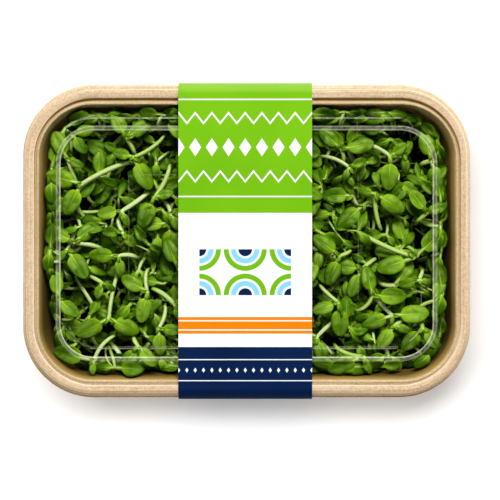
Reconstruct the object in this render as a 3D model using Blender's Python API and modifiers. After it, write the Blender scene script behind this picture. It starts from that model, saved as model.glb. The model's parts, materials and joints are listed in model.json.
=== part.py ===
"""A closed tray of cut sunflower shoots: a moulded-fibre tray, a clear lid, a card sleeve, and
the loose shoots inside, in metres with +Z up.

The origin is on the surface the tray stands on, under its middle. +X runs along the tray's long
side and +Y to its back. The sleeve's bottom panel is the lowest face."""

import math
import random
from collections import namedtuple

import bmesh
import bpy
from mathutils import Matrix, Vector
from mathutils.geometry import interpolate_bezier
from mathutils.kdtree import KDTree

MM = 0.001
UP = Vector((0, 0, 1))

# Tray: outline of the rim seen from above, heights, and the taper of its wall
TRAY_LENGTH = 216 * MM
TRAY_WIDTH = 151 * MM
TRAY_CORNER = 34.5 * MM
TRAY_UNDERSIDE = 0.7 * MM
FIBRE = 1.1 * MM
WALL_INSET = 8.6 * MM
WALL_TOP = 40.2 * MM
OUTER_WALL_TOP = 38 * MM
WALL_FOOT = 9 * MM
WALL_TAPER = 0.155
# The rim is a little wider along the long sides
WIDTH_INSET_RATIO = 1.1
CORNER_STEPS = 6
# Section of the rim as pairs in millimetres, of inset from its outer edge and height: the
# ridge round the mouth, the groove that the lid sits in, the flat band, the lip that turns
# down, its foot, and the underside
RIM_SECTION = (
    (8.3, 41), (8, 41.2), (7.4, 41.2),
    (6.9, 40.6), (5.8, 40.6),
    (5.3, 41.8), (5, 42), (3.3, 42),
    (2.9, 41.6), (2.2, 41.5), (1, 40.8), (0, 38.6),
    (0.3, 38.2), (1, 38.4),
    (2.2, 40.2), (4.8, 40.4), (5.6, 39.4),
)
# Bends from wall to floor as pairs in millimetres, of how far in from the wall's foot and how
# high over the floor, inside and outside
INNER_BEND = ((6.5, 0), (3.4, 0.5), (1.2, 2.4))
OUTER_BEND = ((0.6, 1.9), (3, 0.3), (6.5, 0))
# How much the wall draws in for each millimetre below its foot
BEND_FLARE = 0.55

# Lid: clear sheet with a raised bead round its panel. Its edge is stepped, in pairs in
# millimetres of inset from the rim's outer edge and height
LID_SHEET = 0.4 * MM
LID_TOP = 41.9 * MM
LID_STEPS = ((5.95, 41.3), (6.6, 41.4), (7.05, 41.9))
BEAD_LENGTH = 184 * MM
BEAD_WIDTH = 113.2 * MM
BEAD_CORNER = 17.8 * MM
BEAD_RIB = 1.9 * MM
BEAD_FLANK = 0.45 * MM
BEAD_HEIGHT = 0.45 * MM
BEAD_FRONT_SHIFT = 1.2 * MM

# Sleeve: a closed card band round the tray, with a quarter-oval bend over each long side of
# the rim and another at the tray's foot
SLEEVE_X = -0.65 * MM
SLEEVE_WIDTH = 64.2 * MM
SLEEVE_TOP = 43.2 * MM
SLEEVE_REACH = 76.2 * MM
SLEEVE_BEND_RUN = 5.6 * MM
SLEEVE_BEND_DROP = 4.4 * MM
SLEEVE_BEND_STEPS = 4
SLEEVE_FOOT_REACH = 59 * MM
SLEEVE_FOOT_RUN = 2.4 * MM
SLEEVE_FOOT_RISE = 2 * MM
SLEEVE_FOOT_STEPS = 2
CARD = 0.4 * MM

# Bunches of shoots, in a grid of cells over the floor of the tray
COLUMNS = 6
ROWS = 4
CELL_LENGTH = 29.5 * MM
CELL_WIDTH = 27.5 * MM
CELL_GAP = 0.6 * MM
TANGLE_BOTTOM = 2.4 * MM
TANGLE_SHOULDER = 8 * MM
TANGLE_UNEVENNESS = 7 * MM
TANGLE_SIDES = 8
TANGLE_SQUARENESS = 0.45
TANGLE_HEAD = 0.85
TANGLE_NUDGE = 0.97
SHOOTS_PER_BUNCH = 4
SHOOTS_UNDER_SLEEVE = 3

# Shoots: a stem and two seed leaves, each an oval blade on a narrow stalk
STEM_RADIUS = 1.3 * MM
STEM_ROOT = 6 * MM
STEM_SHOULDER = 2 * MM
STEM_SHOULDER_REACH = 0.6
STEM_PAST_HEAD = 1 * MM
STEM_POINTS = 4
STALK = 2 * MM
LEAF_THICKNESS = 0.7 * MM
LEAF_SUNK = 0.3 * MM
BLADE_LENGTH = 13.5 * MM
SHORTEST_STALK = 0.24
BLADE_ASPECT = 0.66
# Below 1 these move a blade's widest place towards its stalk and make its oval fuller
OVAL_LEAN = 0.8
OVAL_FULLNESS = 0.7
# Shares of the blade where its rows of points are
BLADE_ROWS = (0.3, 0.72)
LEAF_ARCH = 1.6 * MM
# How far a leaf's habit lifts its tip, rolls it (in radians) and cups it, either way
TIP_LIFT = 1.5 * MM
TIP_DROOP = 0.3 * MM
LEAF_ROLL = 0.4
LEAF_CUP = 0.35

# Where shoots go: heights of their heads, gaps, and how they are drawn in from the wall
HIGHEST_HEAD = 37.5 * MM
LOWEST_HEAD = 19 * MM
LEVEL_STEP = 1.5 * MM
TOP_SPREAD = 2.5 * MM
LOOSE_SPREAD = 4 * MM
LEAF_GAP = 1.2 * MM
WALL_GAP = 0.4 * MM
DRAWN_IN = (1, 0.97, 0.94)
ROOT_MARGIN = 3 * MM
ROOT_REACH = 0.4
ROOT_NUDGE = 0.2
STEM_FEELERS = 20
WELD = 0.02 * MM

# Seeded shoots: how many spots are tried for each, how far its head leans from its root, how
# far each leaf turns from that lean in radians, and how long a leaf is from head to tip
SEED = 7
TRIES = 14
HEAD_REACH = (5 * MM, 15 * MM)
LEAF_TURN = (0.5, 1.6)
LEAF_LENGTH = (13 * MM, 17 * MM)

# The shoots on top, on a plan whose steps are 0.4816 mm, with x to the right and y to the
# front: the visible foot of the stem, the head, and the tips of the two leaves
PLAN_STEP = 0.4816 * MM
PLAN_MIDDLE = (246.6, 241)
TOP_SHOOTS = (
    ((167, 122), (133, 157), (112, 151), (150, 189)),
    ((124, 268), (108, 319), (138, 333), (75, 336)),
    ((362, 232), (421, 258), (451, 229), (382, 271)),
    ((361, 270), (393, 316), (363, 326), (430, 313)),
    ((128, 163), (81, 184), (64, 214), (45, 174)),
    ((168, 163), (151, 196), (137, 227), (171, 190)),
    ((71, 277), (94, 311), (110, 317), (86, 326)),
    ((120, 340), (93, 361), (53, 351), (92, 375)),
    ((317, 156), (350, 167), (367, 159), (344, 180)),
    ((362, 145), (391, 156), (389, 190), (407, 143)),
    ((316, 289), (339, 303), (341, 337), (313, 312)),
    ((380, 235), (376, 194), (405, 211), (358, 189)),
    ((100, 249), (68, 243), (90, 223), (43, 228)),
    ((148, 269), (147, 292), (121, 277), (140, 323)),
    ((136, 259), (118, 256), (88, 255), (120, 277)),
    ((372, 150), (359, 141), (326, 124), (365, 119)),
    ((148, 190), (121, 211), (96, 214), (128, 226)),
    ((134, 250), (141, 239), (163, 226), (147, 270)),
    ((336, 345), (364, 357), (328, 371), (371, 374)),
    ((134, 154), (126, 138), (112, 111), (149, 120)),
    ((122, 172), (112, 158), (85, 140), (96, 203)),
    ((432, 168), (438, 158), (430, 127), (447, 188)),
    ((425, 305), (441, 303), (450, 278), (447, 328)),
    ((422, 320), (429, 331), (445, 352), (408, 354)),
    ((150, 290), (174, 305), (188, 296), (181, 322)),
    ((352, 250), (340, 256), (314, 236), (328, 285)),
    ((362, 278), (350, 302), (376, 306), (338, 318)),
    ((372, 290), (364, 271), (335, 260), (373, 247)),
    ((380, 208), (369, 203), (342, 227), (386, 190)),
    ((365, 204), (361, 192), (328, 192), (352, 172)),
    ((60, 232), (66, 249), (86, 278), (55, 262)),
    ((60, 312), (57, 299), (55, 272), (78, 316)),
    ((365, 142), (374, 132), (404, 120), (350, 117)),
    ((405, 320), (400, 328), (383, 352), (418, 336)),
    ((383, 348), (394, 360), (408, 374), (372, 366)),
    ((418, 222), (428, 213), (411, 190), (448, 204)),
    ((345, 205), (337, 213), (316, 214), (346, 230)),
    ((163, 203), (170, 214), (181, 231), (190, 210)),
    ((163, 305), (158, 329), (160, 356), (182, 331)),
    ((70, 184), (67, 160), (53, 131), (83, 166)),
    ((400, 172), (408, 178), (431, 189), (404, 195)),
    ((410, 140), (416, 149), (418, 169), (424, 134)),
    ((121, 218), (114, 232), (91, 231), (126, 247)),
    ((88, 276), (101, 283), (96, 299), (114, 290)),
    ((168, 318), (163, 294), (180, 271), (150, 312)),
    ((185, 262), (178, 268), (165, 238), (192, 286)),
    ((108, 345), (115, 361), (118, 376), (136, 362)),
    ((160, 350), (157, 360), (162, 377), (143, 366)),
    ((58, 150), (66, 131), (89, 124), (80, 150)),
    ((425, 270), (420, 280), (400, 286), (433, 284)),
)

Leaf = namedtuple("Leaf", "base tip half_width stalk roll cup")
Shoot = namedtuple("Shoot", "bunch stem leaves")


def new_material(name, color, roughness, transmission=0.0):
    material = bpy.data.materials.new(name)
    material.use_nodes = True
    shader = material.node_tree.nodes["Principled BSDF"]
    shader.inputs["Base Color"].default_value = (*color, 1)
    shader.inputs["Roughness"].default_value = roughness
    shader.inputs["Metallic"].default_value = 0
    shader.inputs["Transmission Weight"].default_value = transmission
    return material


def new_object(name, mesh, collection, material=None):
    item = bpy.data.objects.new(name, mesh)
    collection.objects.link(item)
    if material:
        mesh.materials.append(material)
    return item


def mesh_from(bm, name):
    mesh = bpy.data.meshes.new(name)
    bm.to_mesh(mesh)
    bm.free()
    return mesh


def evaluated_mesh(item):
    bpy.context.view_layer.update()
    graph = bpy.context.evaluated_depsgraph_get()
    return bpy.data.meshes.new_from_object(item.evaluated_get(graph))


def rounded_rectangle(half_length, half_width, radius, z, shift_y=0.0):
    """Corners of a rounded rectangle, counter-clockwise from the right front."""
    points = []
    for quarter in range(4):
        side_x = 1 if quarter in (0, 3) else -1
        side_y = 1 if quarter in (0, 1) else -1
        for step in range(CORNER_STEPS + 1):
            angle = math.radians(90) * (quarter + step / CORNER_STEPS)
            x = side_x * (half_length - radius) + radius * math.cos(angle)
            y = side_y * (half_width - radius) + radius * math.sin(angle)
            points.append(Vector((x, y + shift_y, z)))
    return points


def loft(rings, closed_ends):
    """Skin over rings of equal length, with the first and last filled as the flags say."""
    bm = bmesh.new()
    rows = [[bm.verts.new(point) for point in ring] for ring in rings]
    for lower, upper in zip(rows, rows[1:]):
        for here in range(len(lower)):
            after = (here + 1) % len(lower)
            bm.faces.new((lower[here], lower[after], upper[after], upper[here]))
    for row, closed in zip((rows[0], rows[-1]), closed_ends):
        if closed:
            bm.faces.new(row)
    bmesh.ops.recalc_face_normals(bm, faces=bm.faces)
    return bm


def wall_inset(z):
    """How far the inner wall is inside the rim's outer edge at a height above its foot."""
    return WALL_INSET + (WALL_TOP - z) * WALL_TAPER


def tray_ring(inset, z):
    half_width = TRAY_WIDTH / 2 - inset * WIDTH_INSET_RATIO
    return rounded_rectangle(TRAY_LENGTH / 2 - inset, half_width, TRAY_CORNER - inset, z)


def build_tray(collection):
    """One wall section carried round the rounded rectangle, from the floor up the inside, over
    the rim and back underneath."""
    foot = wall_inset(WALL_FOOT)
    floor = TRAY_UNDERSIDE + FIBRE
    section = [(foot + inset * MM, floor + z * MM) for inset, z in INNER_BEND]
    section += [(foot, WALL_FOOT), (WALL_INSET, WALL_TOP)]
    section += [(inset * MM, z * MM) for inset, z in RIM_SECTION]
    section.append((wall_inset(OUTER_WALL_TOP) - FIBRE, OUTER_WALL_TOP))
    section.append((foot - FIBRE, WALL_FOOT))
    section += [(foot + inset * MM, TRAY_UNDERSIDE + z * MM) for inset, z in OUTER_BEND]
    bm = loft([tray_ring(inset, z) for inset, z in section], (True, True))
    fibre = new_material("moulded fibre", (0.62, 0.45, 0.26), 0.9)
    return new_object("tray", mesh_from(bm, "tray"), collection, fibre)


def lid_rings():
    """The lid's stepped edge, then up over its bead and down to the panel."""
    rings = [tray_ring(inset * MM, z * MM) for inset, z in LID_STEPS]
    for inset, z in (
        (0, LID_TOP),
        (BEAD_FLANK, LID_TOP + BEAD_HEIGHT),
        (BEAD_RIB - BEAD_FLANK, LID_TOP + BEAD_HEIGHT),
        (BEAD_RIB, LID_TOP),
    ):
        half_length = BEAD_LENGTH / 2 - inset
        half_width = BEAD_WIDTH / 2 - inset
        rings.append(
            rounded_rectangle(half_length, half_width, BEAD_CORNER - inset, z, -BEAD_FRONT_SHIFT)
        )
    return rings


def build_lid(collection):
    clear = new_material("clear sheet", (0.95, 0.97, 0.97), 0.05, 1.0)
    lid = new_object("lid", mesh_from(loft(lid_rings(), (False, True)), "lid"), collection, clear)
    sheet = lid.modifiers.new("Sheet", "SOLIDIFY")
    sheet.thickness = LID_SHEET
    sheet.offset = -1
    return lid


def sleeve_outline():
    """Outer line of the sleeve in the YZ plane: flat on top, bent over the lips, in along the
    tapered sides and flat underneath."""
    back = []
    for step in range(SLEEVE_BEND_STEPS + 1):
        angle = math.radians(90) * step / SLEEVE_BEND_STEPS
        y = SLEEVE_REACH - SLEEVE_BEND_RUN * (1 - math.sin(angle))
        back.append((y, SLEEVE_TOP - SLEEVE_BEND_DROP * (1 - math.cos(angle))))
    for step in range(SLEEVE_FOOT_STEPS + 1):
        angle = math.radians(90) * step / SLEEVE_FOOT_STEPS
        y = SLEEVE_FOOT_REACH + SLEEVE_FOOT_RUN * math.cos(angle)
        back.append((y, SLEEVE_FOOT_RISE * (1 - math.sin(angle))))
    front = [(-y, z) for y, z in reversed(back)]
    return back + front


def build_sleeve(collection):
    outline = sleeve_outline()
    bm = bmesh.new()
    rows = []
    for x in (SLEEVE_X - SLEEVE_WIDTH / 2, SLEEVE_X + SLEEVE_WIDTH / 2):
        rows.append([bm.verts.new((x, y, z)) for y, z in outline])
    for here in range(len(outline)):
        after = (here + 1) % len(outline)
        bm.faces.new((rows[0][here], rows[1][here], rows[1][after], rows[0][after]))
    card = new_material("printed card", (0.9, 0.9, 0.88), 0.45)
    sleeve = new_object("sleeve", mesh_from(bm, "sleeve"), collection, card)
    thickness = sleeve.modifiers.new("Card", "SOLIDIFY")
    thickness.thickness = CARD
    thickness.offset = -1
    thickness.use_even_offset = True
    return sleeve


def room_at(point, z):
    """Distance from a point to the tray's inner wall at height z, negative outside."""
    inset = wall_inset(max(z, WALL_FOOT))
    if z < WALL_FOOT:
        inset += (WALL_FOOT - z) * BEND_FLARE
    radius = TRAY_CORNER - inset
    dx = abs(point.x) - (TRAY_LENGTH / 2 - inset) + radius
    dy = abs(point.y) - (TRAY_WIDTH / 2 - inset * WIDTH_INSET_RATIO) + radius
    return radius - math.hypot(max(dx, 0), max(dy, 0)) - min(max(dx, dy), 0)


def on_plan(spot):
    x = (spot[0] - PLAN_MIDDLE[0]) * PLAN_STEP
    y = (PLAN_MIDDLE[1] - spot[1]) * PLAN_STEP
    return Vector((x, y, 0))


def cell_middle(column, row):
    x = (column - (COLUMNS - 1) / 2) * CELL_LENGTH
    y = (row - (ROWS - 1) / 2) * CELL_WIDTH
    return Vector((x, y, 0))


def cell_of(point):
    column = round(point.x / CELL_LENGTH + (COLUMNS - 1) / 2)
    row = round(point.y / CELL_WIDTH + (ROWS - 1) / 2)
    return min(max(column, 0), COLUMNS - 1), min(max(row, 0), ROWS - 1)


def rooted(point, cell):
    """The nearest spot to a point inside a cell's heap and the tray, for a stem to rise from."""
    middle = cell_middle(*cell)
    spot = Vector((point.x, point.y, 0))
    away = spot - middle
    over = math.hypot(away.x / CELL_LENGTH, away.y / CELL_WIDTH) / ROOT_REACH
    if over > 1:
        spot = middle + away / over
    while room_at(spot, STEM_ROOT) < ROOT_MARGIN:
        spot = spot.lerp(middle, ROOT_NUDGE)
    return spot


def grow_leaf(head, tip, lift, roll, cup):
    length = (tip - head).length
    stalk = max(SHORTEST_STALK, 1 - BLADE_LENGTH / length)
    half_width = (1 - stalk) * length * BLADE_ASPECT / 2
    base = head - (tip - head).normalized() * LEAF_SUNK
    return Leaf(base, tip + UP * lift, half_width, stalk, roll, cup)


def grow_shoot(cell, root, head, tips, level, habit):
    """A shoot whose head is at a given height. Habit holds six numbers between -1 and 1."""
    foot = root + UP * STEM_ROOT
    top = head + UP * level
    above = root + UP * (level - STEM_SHOULDER)
    stem = (foot, above, above.lerp(top, STEM_SHOULDER_REACH), top)
    leaves = []
    for side, tip in enumerate(tips):
        lift = habit[side] * TIP_LIFT - TIP_DROOP
        roll = habit[2 + side] * LEAF_ROLL
        cup = habit[4 + side] * LEAF_CUP
        leaves.append(grow_leaf(top, tip + UP * level, lift, roll, cup))
    return Shoot(cell, stem, leaves)


def leaf_half_width(leaf, along):
    """Half the width of a leaf at a share of its length: a narrow stalk, then an oval blade."""
    if along <= leaf.stalk:
        return STALK / 2
    share = (along - leaf.stalk) / (1 - leaf.stalk)
    swell = math.sin(math.pi * share**OVAL_LEAN) if share < 1 else 0
    return max(leaf.half_width * swell**OVAL_FULLNESS, STALK / 2 * (1 - share))


def leaf_point(leaf, along, across):
    """A point of a leaf's middle surface, along from 0 to 1 and across from -1 to 1."""
    course = leaf.tip - leaf.base
    side = UP.cross(course).normalized()
    face = course.cross(side).normalized()
    rolled = side * math.cos(leaf.roll) + face * math.sin(leaf.roll)
    width = leaf_half_width(leaf, along)
    middle = leaf.base + course * along + UP * LEAF_ARCH * 4 * along * (1 - along)
    return middle + rolled * across * width + face * leaf.cup * width * across**2


def feelers(shoot):
    """Points spread over a shoot, each with how thick the shoot is there."""
    points = [(point, STEM_RADIUS) for point in interpolate_bezier(*shoot.stem, STEM_FEELERS)]
    for leaf in shoot.leaves:
        for step in range(2, 11):
            for across in (-1, -0.5, 0, 0.5, 1):
                points.append((leaf_point(leaf, step / 10, across), LEAF_THICKNESS / 2))
    return points


def is_clear(points, taken, tree):
    """Whether a shoot is inside the tray, under the lid and clear of the shoots before it."""
    ceiling = LID_TOP - LID_SHEET - WALL_GAP
    for point, radius in points:
        if point.z + radius > ceiling or room_at(point, point.z) < radius + WALL_GAP:
            return False
    for point, radius in points:
        for _, index, distance in tree.find_range(point, radius + STEM_RADIUS + LEAF_GAP):
            if distance < radius + taken[index][1] + LEAF_GAP:
                return False
    return True


def settle(cell, root, head, tips, habit, start, taken, tree):
    """The highest clear place for a shoot, drawn in from the wall where it has to be."""
    level = start
    while level >= LOWEST_HEAD:
        for pull in DRAWN_IN:
            drawn = [tip * pull for tip in tips]
            shoot = grow_shoot(cell, root, head * pull, drawn, level, habit)
            points = feelers(shoot)
            if is_clear(points, taken, tree):
                return shoot, points, level
        level -= LEVEL_STEP
    return None, [], 0


def tree_of(taken):
    tree = KDTree(max(len(taken), 1))
    for index, entry in enumerate(taken):
        tree.insert(entry[0], index)
    tree.balance()
    return tree


def random_shoot(draw, cell):
    middle = cell_middle(*cell)
    spread = Vector((draw.uniform(-0.5, 0.5) * CELL_LENGTH, draw.uniform(-0.5, 0.5) * CELL_WIDTH))
    root = rooted(middle + spread.to_3d(), cell)
    course = draw.uniform(0, 2 * math.pi)
    reach = draw.uniform(*HEAD_REACH)
    head = root + Vector((math.cos(course), math.sin(course), 0)) * reach
    tips = []
    for side in (1, -1):
        angle = course + side * draw.uniform(*LEAF_TURN)
        length = draw.uniform(*LEAF_LENGTH)
        tips.append(head + Vector((math.cos(angle), math.sin(angle), 0)) * length)
    return root, head, tips


def place_shoots():
    """The shoots on top first, then seeded ones until each bunch has its number."""
    draw = random.Random(SEED)
    shoots = []
    taken = []

    def keep(shoot, points):
        shoots.append(shoot)
        taken.extend(points)

    for spots in TOP_SHOOTS:
        habit = [draw.uniform(-1, 1) for _ in range(6)]
        foot, head, *tips = [on_plan(spot) for spot in spots]
        cell = cell_of(foot)
        root = rooted(foot, cell)
        start = HIGHEST_HEAD - draw.uniform(0, TOP_SPREAD)
        shoot, points, _ = settle(
            cell, root, head, tips, habit, start, taken, tree_of(taken)
        )
        if shoot:
            keep(shoot, points)
    cells = [(column, row) for column in range(COLUMNS) for row in range(ROWS)]
    for turn in range(SHOOTS_PER_BUNCH):
        for cell in cells:
            hidden = abs(cell_middle(*cell).x) < SLEEVE_WIDTH / 4
            placed = sum(shoot.bunch == cell for shoot in shoots)
            if placed > turn or (hidden and turn == SHOOTS_UNDER_SLEEVE):
                continue
            tree = tree_of(taken)
            best = (None, [], 0)
            for _ in range(TRIES):
                root, head, tips = random_shoot(draw, cell)
                habit = [draw.uniform(-1, 1) for _ in range(6)]
                start = HIGHEST_HEAD - draw.uniform(0, LOOSE_SPREAD)
                found = settle(cell, root, head, tips, habit, start, taken, tree)
                if found[2] > best[2]:
                    best = found
            if best[0]:
                keep(best[0], best[1])
    return shoots


def zip_rows(bm, first, second):
    """Triangles between two rows of points that may differ in number."""
    i = j = 0
    while i < len(first) - 1 or j < len(second) - 1:
        next_i = (i + 1) / (len(first) - 1) if i < len(first) - 1 else math.inf
        next_j = (j + 1) / (len(second) - 1) if j < len(second) - 1 else math.inf
        if next_i <= next_j:
            bm.faces.new((first[i], first[i + 1], second[j]))
            i += 1
        else:
            bm.faces.new((first[i], second[j + 1], second[j]))
            j += 1


def leaf_rows(leaf):
    """Where a leaf's few rows of points are along it, and the points across each row."""
    blade = 1 - leaf.stalk
    return [
        (leaf.stalk, (-1, 1)),
        (leaf.stalk + BLADE_ROWS[0] * blade, (-1, 0, 1)),
        (leaf.stalk + BLADE_ROWS[1] * blade, (-1, 0, 1)),
        (1, (0,)),
    ]


def add_leaves(shoot, name, collection):
    """Both leaves as one thin strip over the head, from tip to tip, closed by Solidify."""
    first, second = shoot.leaves
    inward = (first.base - first.tip).normalized()
    outward = (second.tip - second.base).normalized()
    side = UP.cross(inward + outward).normalized() * STALK / 2
    head = shoot.stem[-1]
    lines = []
    for along, places in reversed(leaf_rows(first)):
        lines.append([leaf_point(first, along, -across) for across in places])
    lines.append([head - side, head + side])
    for along, places in leaf_rows(second):
        lines.append([leaf_point(second, along, across) for across in places])
    bm = bmesh.new()
    rows = [[bm.verts.new(point) for point in line] for line in lines]
    for here, after in zip(rows, rows[1:]):
        zip_rows(bm, here, after)
    strip = new_object(name, mesh_from(bm, name), collection)
    blade = strip.modifiers.new("Blade", "SOLIDIFY")
    blade.thickness = LEAF_THICKNESS
    blade.offset = 0


def add_stem(shoot, name, collection):
    """A four-sided tube along the stem, made a closed mesh."""
    line = bpy.data.curves.new(name, "CURVE")
    line.dimensions = "3D"
    line.bevel_depth = STEM_RADIUS
    line.bevel_resolution = 0
    line.use_fill_caps = True
    points = interpolate_bezier(*shoot.stem, STEM_POINTS)
    points[-1] += (points[-1] - points[-2]).normalized() * STEM_PAST_HEAD
    spline = line.splines.new("POLY")
    spline.points.add(len(points) - 1)
    for place, point in zip(spline.points, points):
        place.co = (*point, 1)
    curve = bpy.data.objects.new(name, line)
    collection.objects.link(curve)
    bm = bmesh.new()
    bm.from_mesh(evaluated_mesh(curve))
    bmesh.ops.remove_doubles(bm, verts=bm.verts, dist=0.01 * MM)
    bmesh.ops.recalc_face_normals(bm, faces=bm.faces)
    bpy.data.objects.remove(curve)
    new_object(name, mesh_from(bm, name), collection)


def build_tangle(name, cell, collection, material):
    """The low mass of stems that a bunch's shoots rise from: a rough heap, nearly square, that
    fills the cell and is drawn in from the tray's wall."""
    middle = cell_middle(*cell)
    size = (CELL_LENGTH - CELL_GAP, CELL_WIDTH - CELL_GAP)
    corner = math.pi / TANGLE_SIDES
    widest = 2 * math.cos(corner) ** TANGLE_SQUARENESS
    bm = bmesh.new()
    bmesh.ops.create_cone(
        bm,
        cap_ends=True,
        cap_tris=True,
        segments=TANGLE_SIDES,
        radius1=1,
        radius2=TANGLE_HEAD,
        depth=1,
        matrix=Matrix.Rotation(corner, 4, "Z"),
    )
    for vert in bm.verts:
        spot = Vector((0, 0, TANGLE_SHOULDER if vert.co.z > 0 else TANGLE_BOTTOM))
        for axis in (0, 1):
            square = abs(vert.co[axis]) ** TANGLE_SQUARENESS / widest
            spot[axis] = math.copysign(square, vert.co[axis]) * size[axis]
        while room_at(spot + middle, spot.z) < 2 * WALL_GAP:
            spot.x *= TANGLE_NUDGE
            spot.y *= TANGLE_NUDGE
        vert.co = spot
    bm.normal_update()
    bmesh.ops.poke(bm, faces=[face for face in bm.faces if face.normal.z > 0.9])
    draw = random.Random(f"{SEED} {cell}")
    for vert in bm.verts:
        if vert.co.z > TANGLE_BOTTOM + WALL_GAP:
            vert.co.z += draw.uniform(0, TANGLE_UNEVENNESS)
    bmesh.ops.triangulate(bm, faces=bm.faces)
    tangle = new_object(name, mesh_from(bm, name), collection, material)
    tangle.location = middle
    return tangle


def fuse(item, pieces):
    """Joins every object of a collection to an object in one union, and removes them."""
    union = item.modifiers.new("Union", "BOOLEAN")
    union.operation = "UNION"
    union.operand_type = "COLLECTION"
    union.collection = pieces
    union.solver = "EXACT"
    item.modifiers.new("Triangles", "TRIANGULATE")
    weld = item.modifiers.new("Weld", "WELD")
    weld.merge_threshold = WELD
    mesh = evaluated_mesh(item)
    item.modifiers.clear()
    item.data = mesh
    for piece in list(pieces.objects):
        bpy.data.objects.remove(piece)


def build_bunches(collection, pieces):
    green = new_material("shoots", (0.16, 0.33, 0.05), 0.5)
    shoots = place_shoots()
    cells = [(column, row) for row in reversed(range(ROWS)) for column in range(COLUMNS)]
    for number, cell in enumerate(cells, 1):
        name = f"bunch_{number:02d}"
        tangle = build_tangle(name, cell, collection, green)
        for index, shoot in enumerate(shoot for shoot in shoots if shoot.bunch == cell):
            add_stem(shoot, f"stem {index}", pieces)
            add_leaves(shoot, f"leaves {index}", pieces)
        fuse(tangle, pieces)


def main():
    for item in list(bpy.data.objects):
        bpy.data.objects.remove(item)
    parts = bpy.data.collections.new("sunflower microgreens tray")
    pieces = bpy.data.collections.new("shoot pieces")
    for collection in (parts, pieces):
        bpy.context.scene.collection.children.link(collection)
    build_tray(parts)
    build_lid(parts)
    build_sleeve(parts)
    build_bunches(parts, pieces)


main()
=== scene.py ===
"""Looks for a closed tray of cut sunflower shoots: a moulded-fibre tray, a clear lid, a printed
card sleeve, and the loose shoots inside. Metres, +Z up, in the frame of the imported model."""

import json
import math
import random
from collections import namedtuple

import bpy
import numpy as np
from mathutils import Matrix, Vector, noise
from mathutils.geometry import interpolate_bezier
from mathutils.kdtree import KDTree

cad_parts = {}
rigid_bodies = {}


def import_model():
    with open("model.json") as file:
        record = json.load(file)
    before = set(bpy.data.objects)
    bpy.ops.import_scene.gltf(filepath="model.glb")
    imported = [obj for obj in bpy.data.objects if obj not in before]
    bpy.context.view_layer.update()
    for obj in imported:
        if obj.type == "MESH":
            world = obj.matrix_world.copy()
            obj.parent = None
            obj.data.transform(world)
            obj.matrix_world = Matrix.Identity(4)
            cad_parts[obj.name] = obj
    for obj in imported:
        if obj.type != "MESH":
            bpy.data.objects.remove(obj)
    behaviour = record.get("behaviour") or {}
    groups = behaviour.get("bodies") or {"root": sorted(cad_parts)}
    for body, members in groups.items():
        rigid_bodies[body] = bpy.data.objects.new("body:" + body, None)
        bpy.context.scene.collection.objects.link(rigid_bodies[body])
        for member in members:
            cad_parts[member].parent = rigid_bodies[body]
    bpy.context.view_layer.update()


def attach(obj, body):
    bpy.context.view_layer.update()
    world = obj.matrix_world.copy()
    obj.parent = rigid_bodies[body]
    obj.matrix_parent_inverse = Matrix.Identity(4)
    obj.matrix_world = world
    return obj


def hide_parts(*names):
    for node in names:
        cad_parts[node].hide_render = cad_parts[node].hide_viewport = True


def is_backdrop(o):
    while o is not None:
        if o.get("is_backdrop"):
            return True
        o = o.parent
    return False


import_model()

MM = 0.001
UP = Vector((0, 0, 1))
UPWARD = np.array(UP)
ANY_WAY = (0, 2 * math.pi)

# Tray: outline of the rim seen from above, heights, and the taper of its wall
TRAY_LENGTH = 216 * MM
TRAY_WIDTH = 151 * MM
TRAY_CORNER = 34.5 * MM
TRAY_UNDERSIDE = 0.7 * MM
FIBRE = 1.1 * MM
WALL_INSET = 8.6 * MM
WALL_TOP = 40.2 * MM
OUTER_WALL_TOP = 38 * MM
WALL_FOOT = 9 * MM
WALL_TAPER = 0.155
# The rim is a little wider along the long sides
WIDTH_INSET_RATIO = 1.1
# Bends from wall to floor as pairs in millimetres, of how far in from the wall's foot and how
# high over the floor, inside and outside
INNER_BEND = ((6.5, 0), (3.4, 0.5), (1.2, 2.4))
OUTER_BEND = ((0.6, 1.9), (3, 0.3), (6.5, 0))
# How much the wall draws in for each millimetre below its foot
BEND_FLARE = 0.55
# The rim's section as pairs in millimetres, of inset from its outer edge and height: the ridge
# round the mouth, the groove that the lid sits in, the band, the lip that turns down, its foot
# and the underside
FINE_RIM = (
    (8.5, 40.6), (8.35, 40.9), (8.18, 41.06), (7.95, 41.1), (7.6, 41.09), (7.4, 41),
    (7.05, 40.72), (6.6, 40.46), (6.1, 40.38), (5.62, 40.35),
    (5.46, 40.55), (5.34, 41.3), (5.15, 41.75), (4.95, 41.98), (4.8, 42.03), (4.2, 42.03),
    (3.2, 42.03), (3.02, 42.02), (2.9, 41.97), (2.72, 41.84), (2.55, 41.85),
    (2.15, 41.76), (1.65, 41.5), (1.15, 41.1),
    (0.65, 40.5), (0.28, 39.8), (0.05, 39), (0, 38.6),
    (0.1, 38.3), (0.4, 38.2), (1, 38.5),
    (2.2, 40.2), (4.2, 40.3), (4.8, 39.6), (5.6, 38.9),
)
CORNER_STEPS = 22
STRAIGHT_STEP = 4 * MM
# The rim's parts, and how uneven they are from front to back
BAND_TOP = 42.03 * MM
BAND_EDGE = 5.1 * MM
BAND_TILT = 0.12
LIP_INSET = 2.9 * MM
LIP_LOW = 39.5 * MM
LIP_UNEVEN = 0.5
BAND_LOW = LIP_LOW + 2 * MM
GROOVE_INSETS = (5.3 * MM, 7.5 * MM)
GROOVE_TOP = 41.1 * MM
GROOVE_UNEVEN = 0.6
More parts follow.
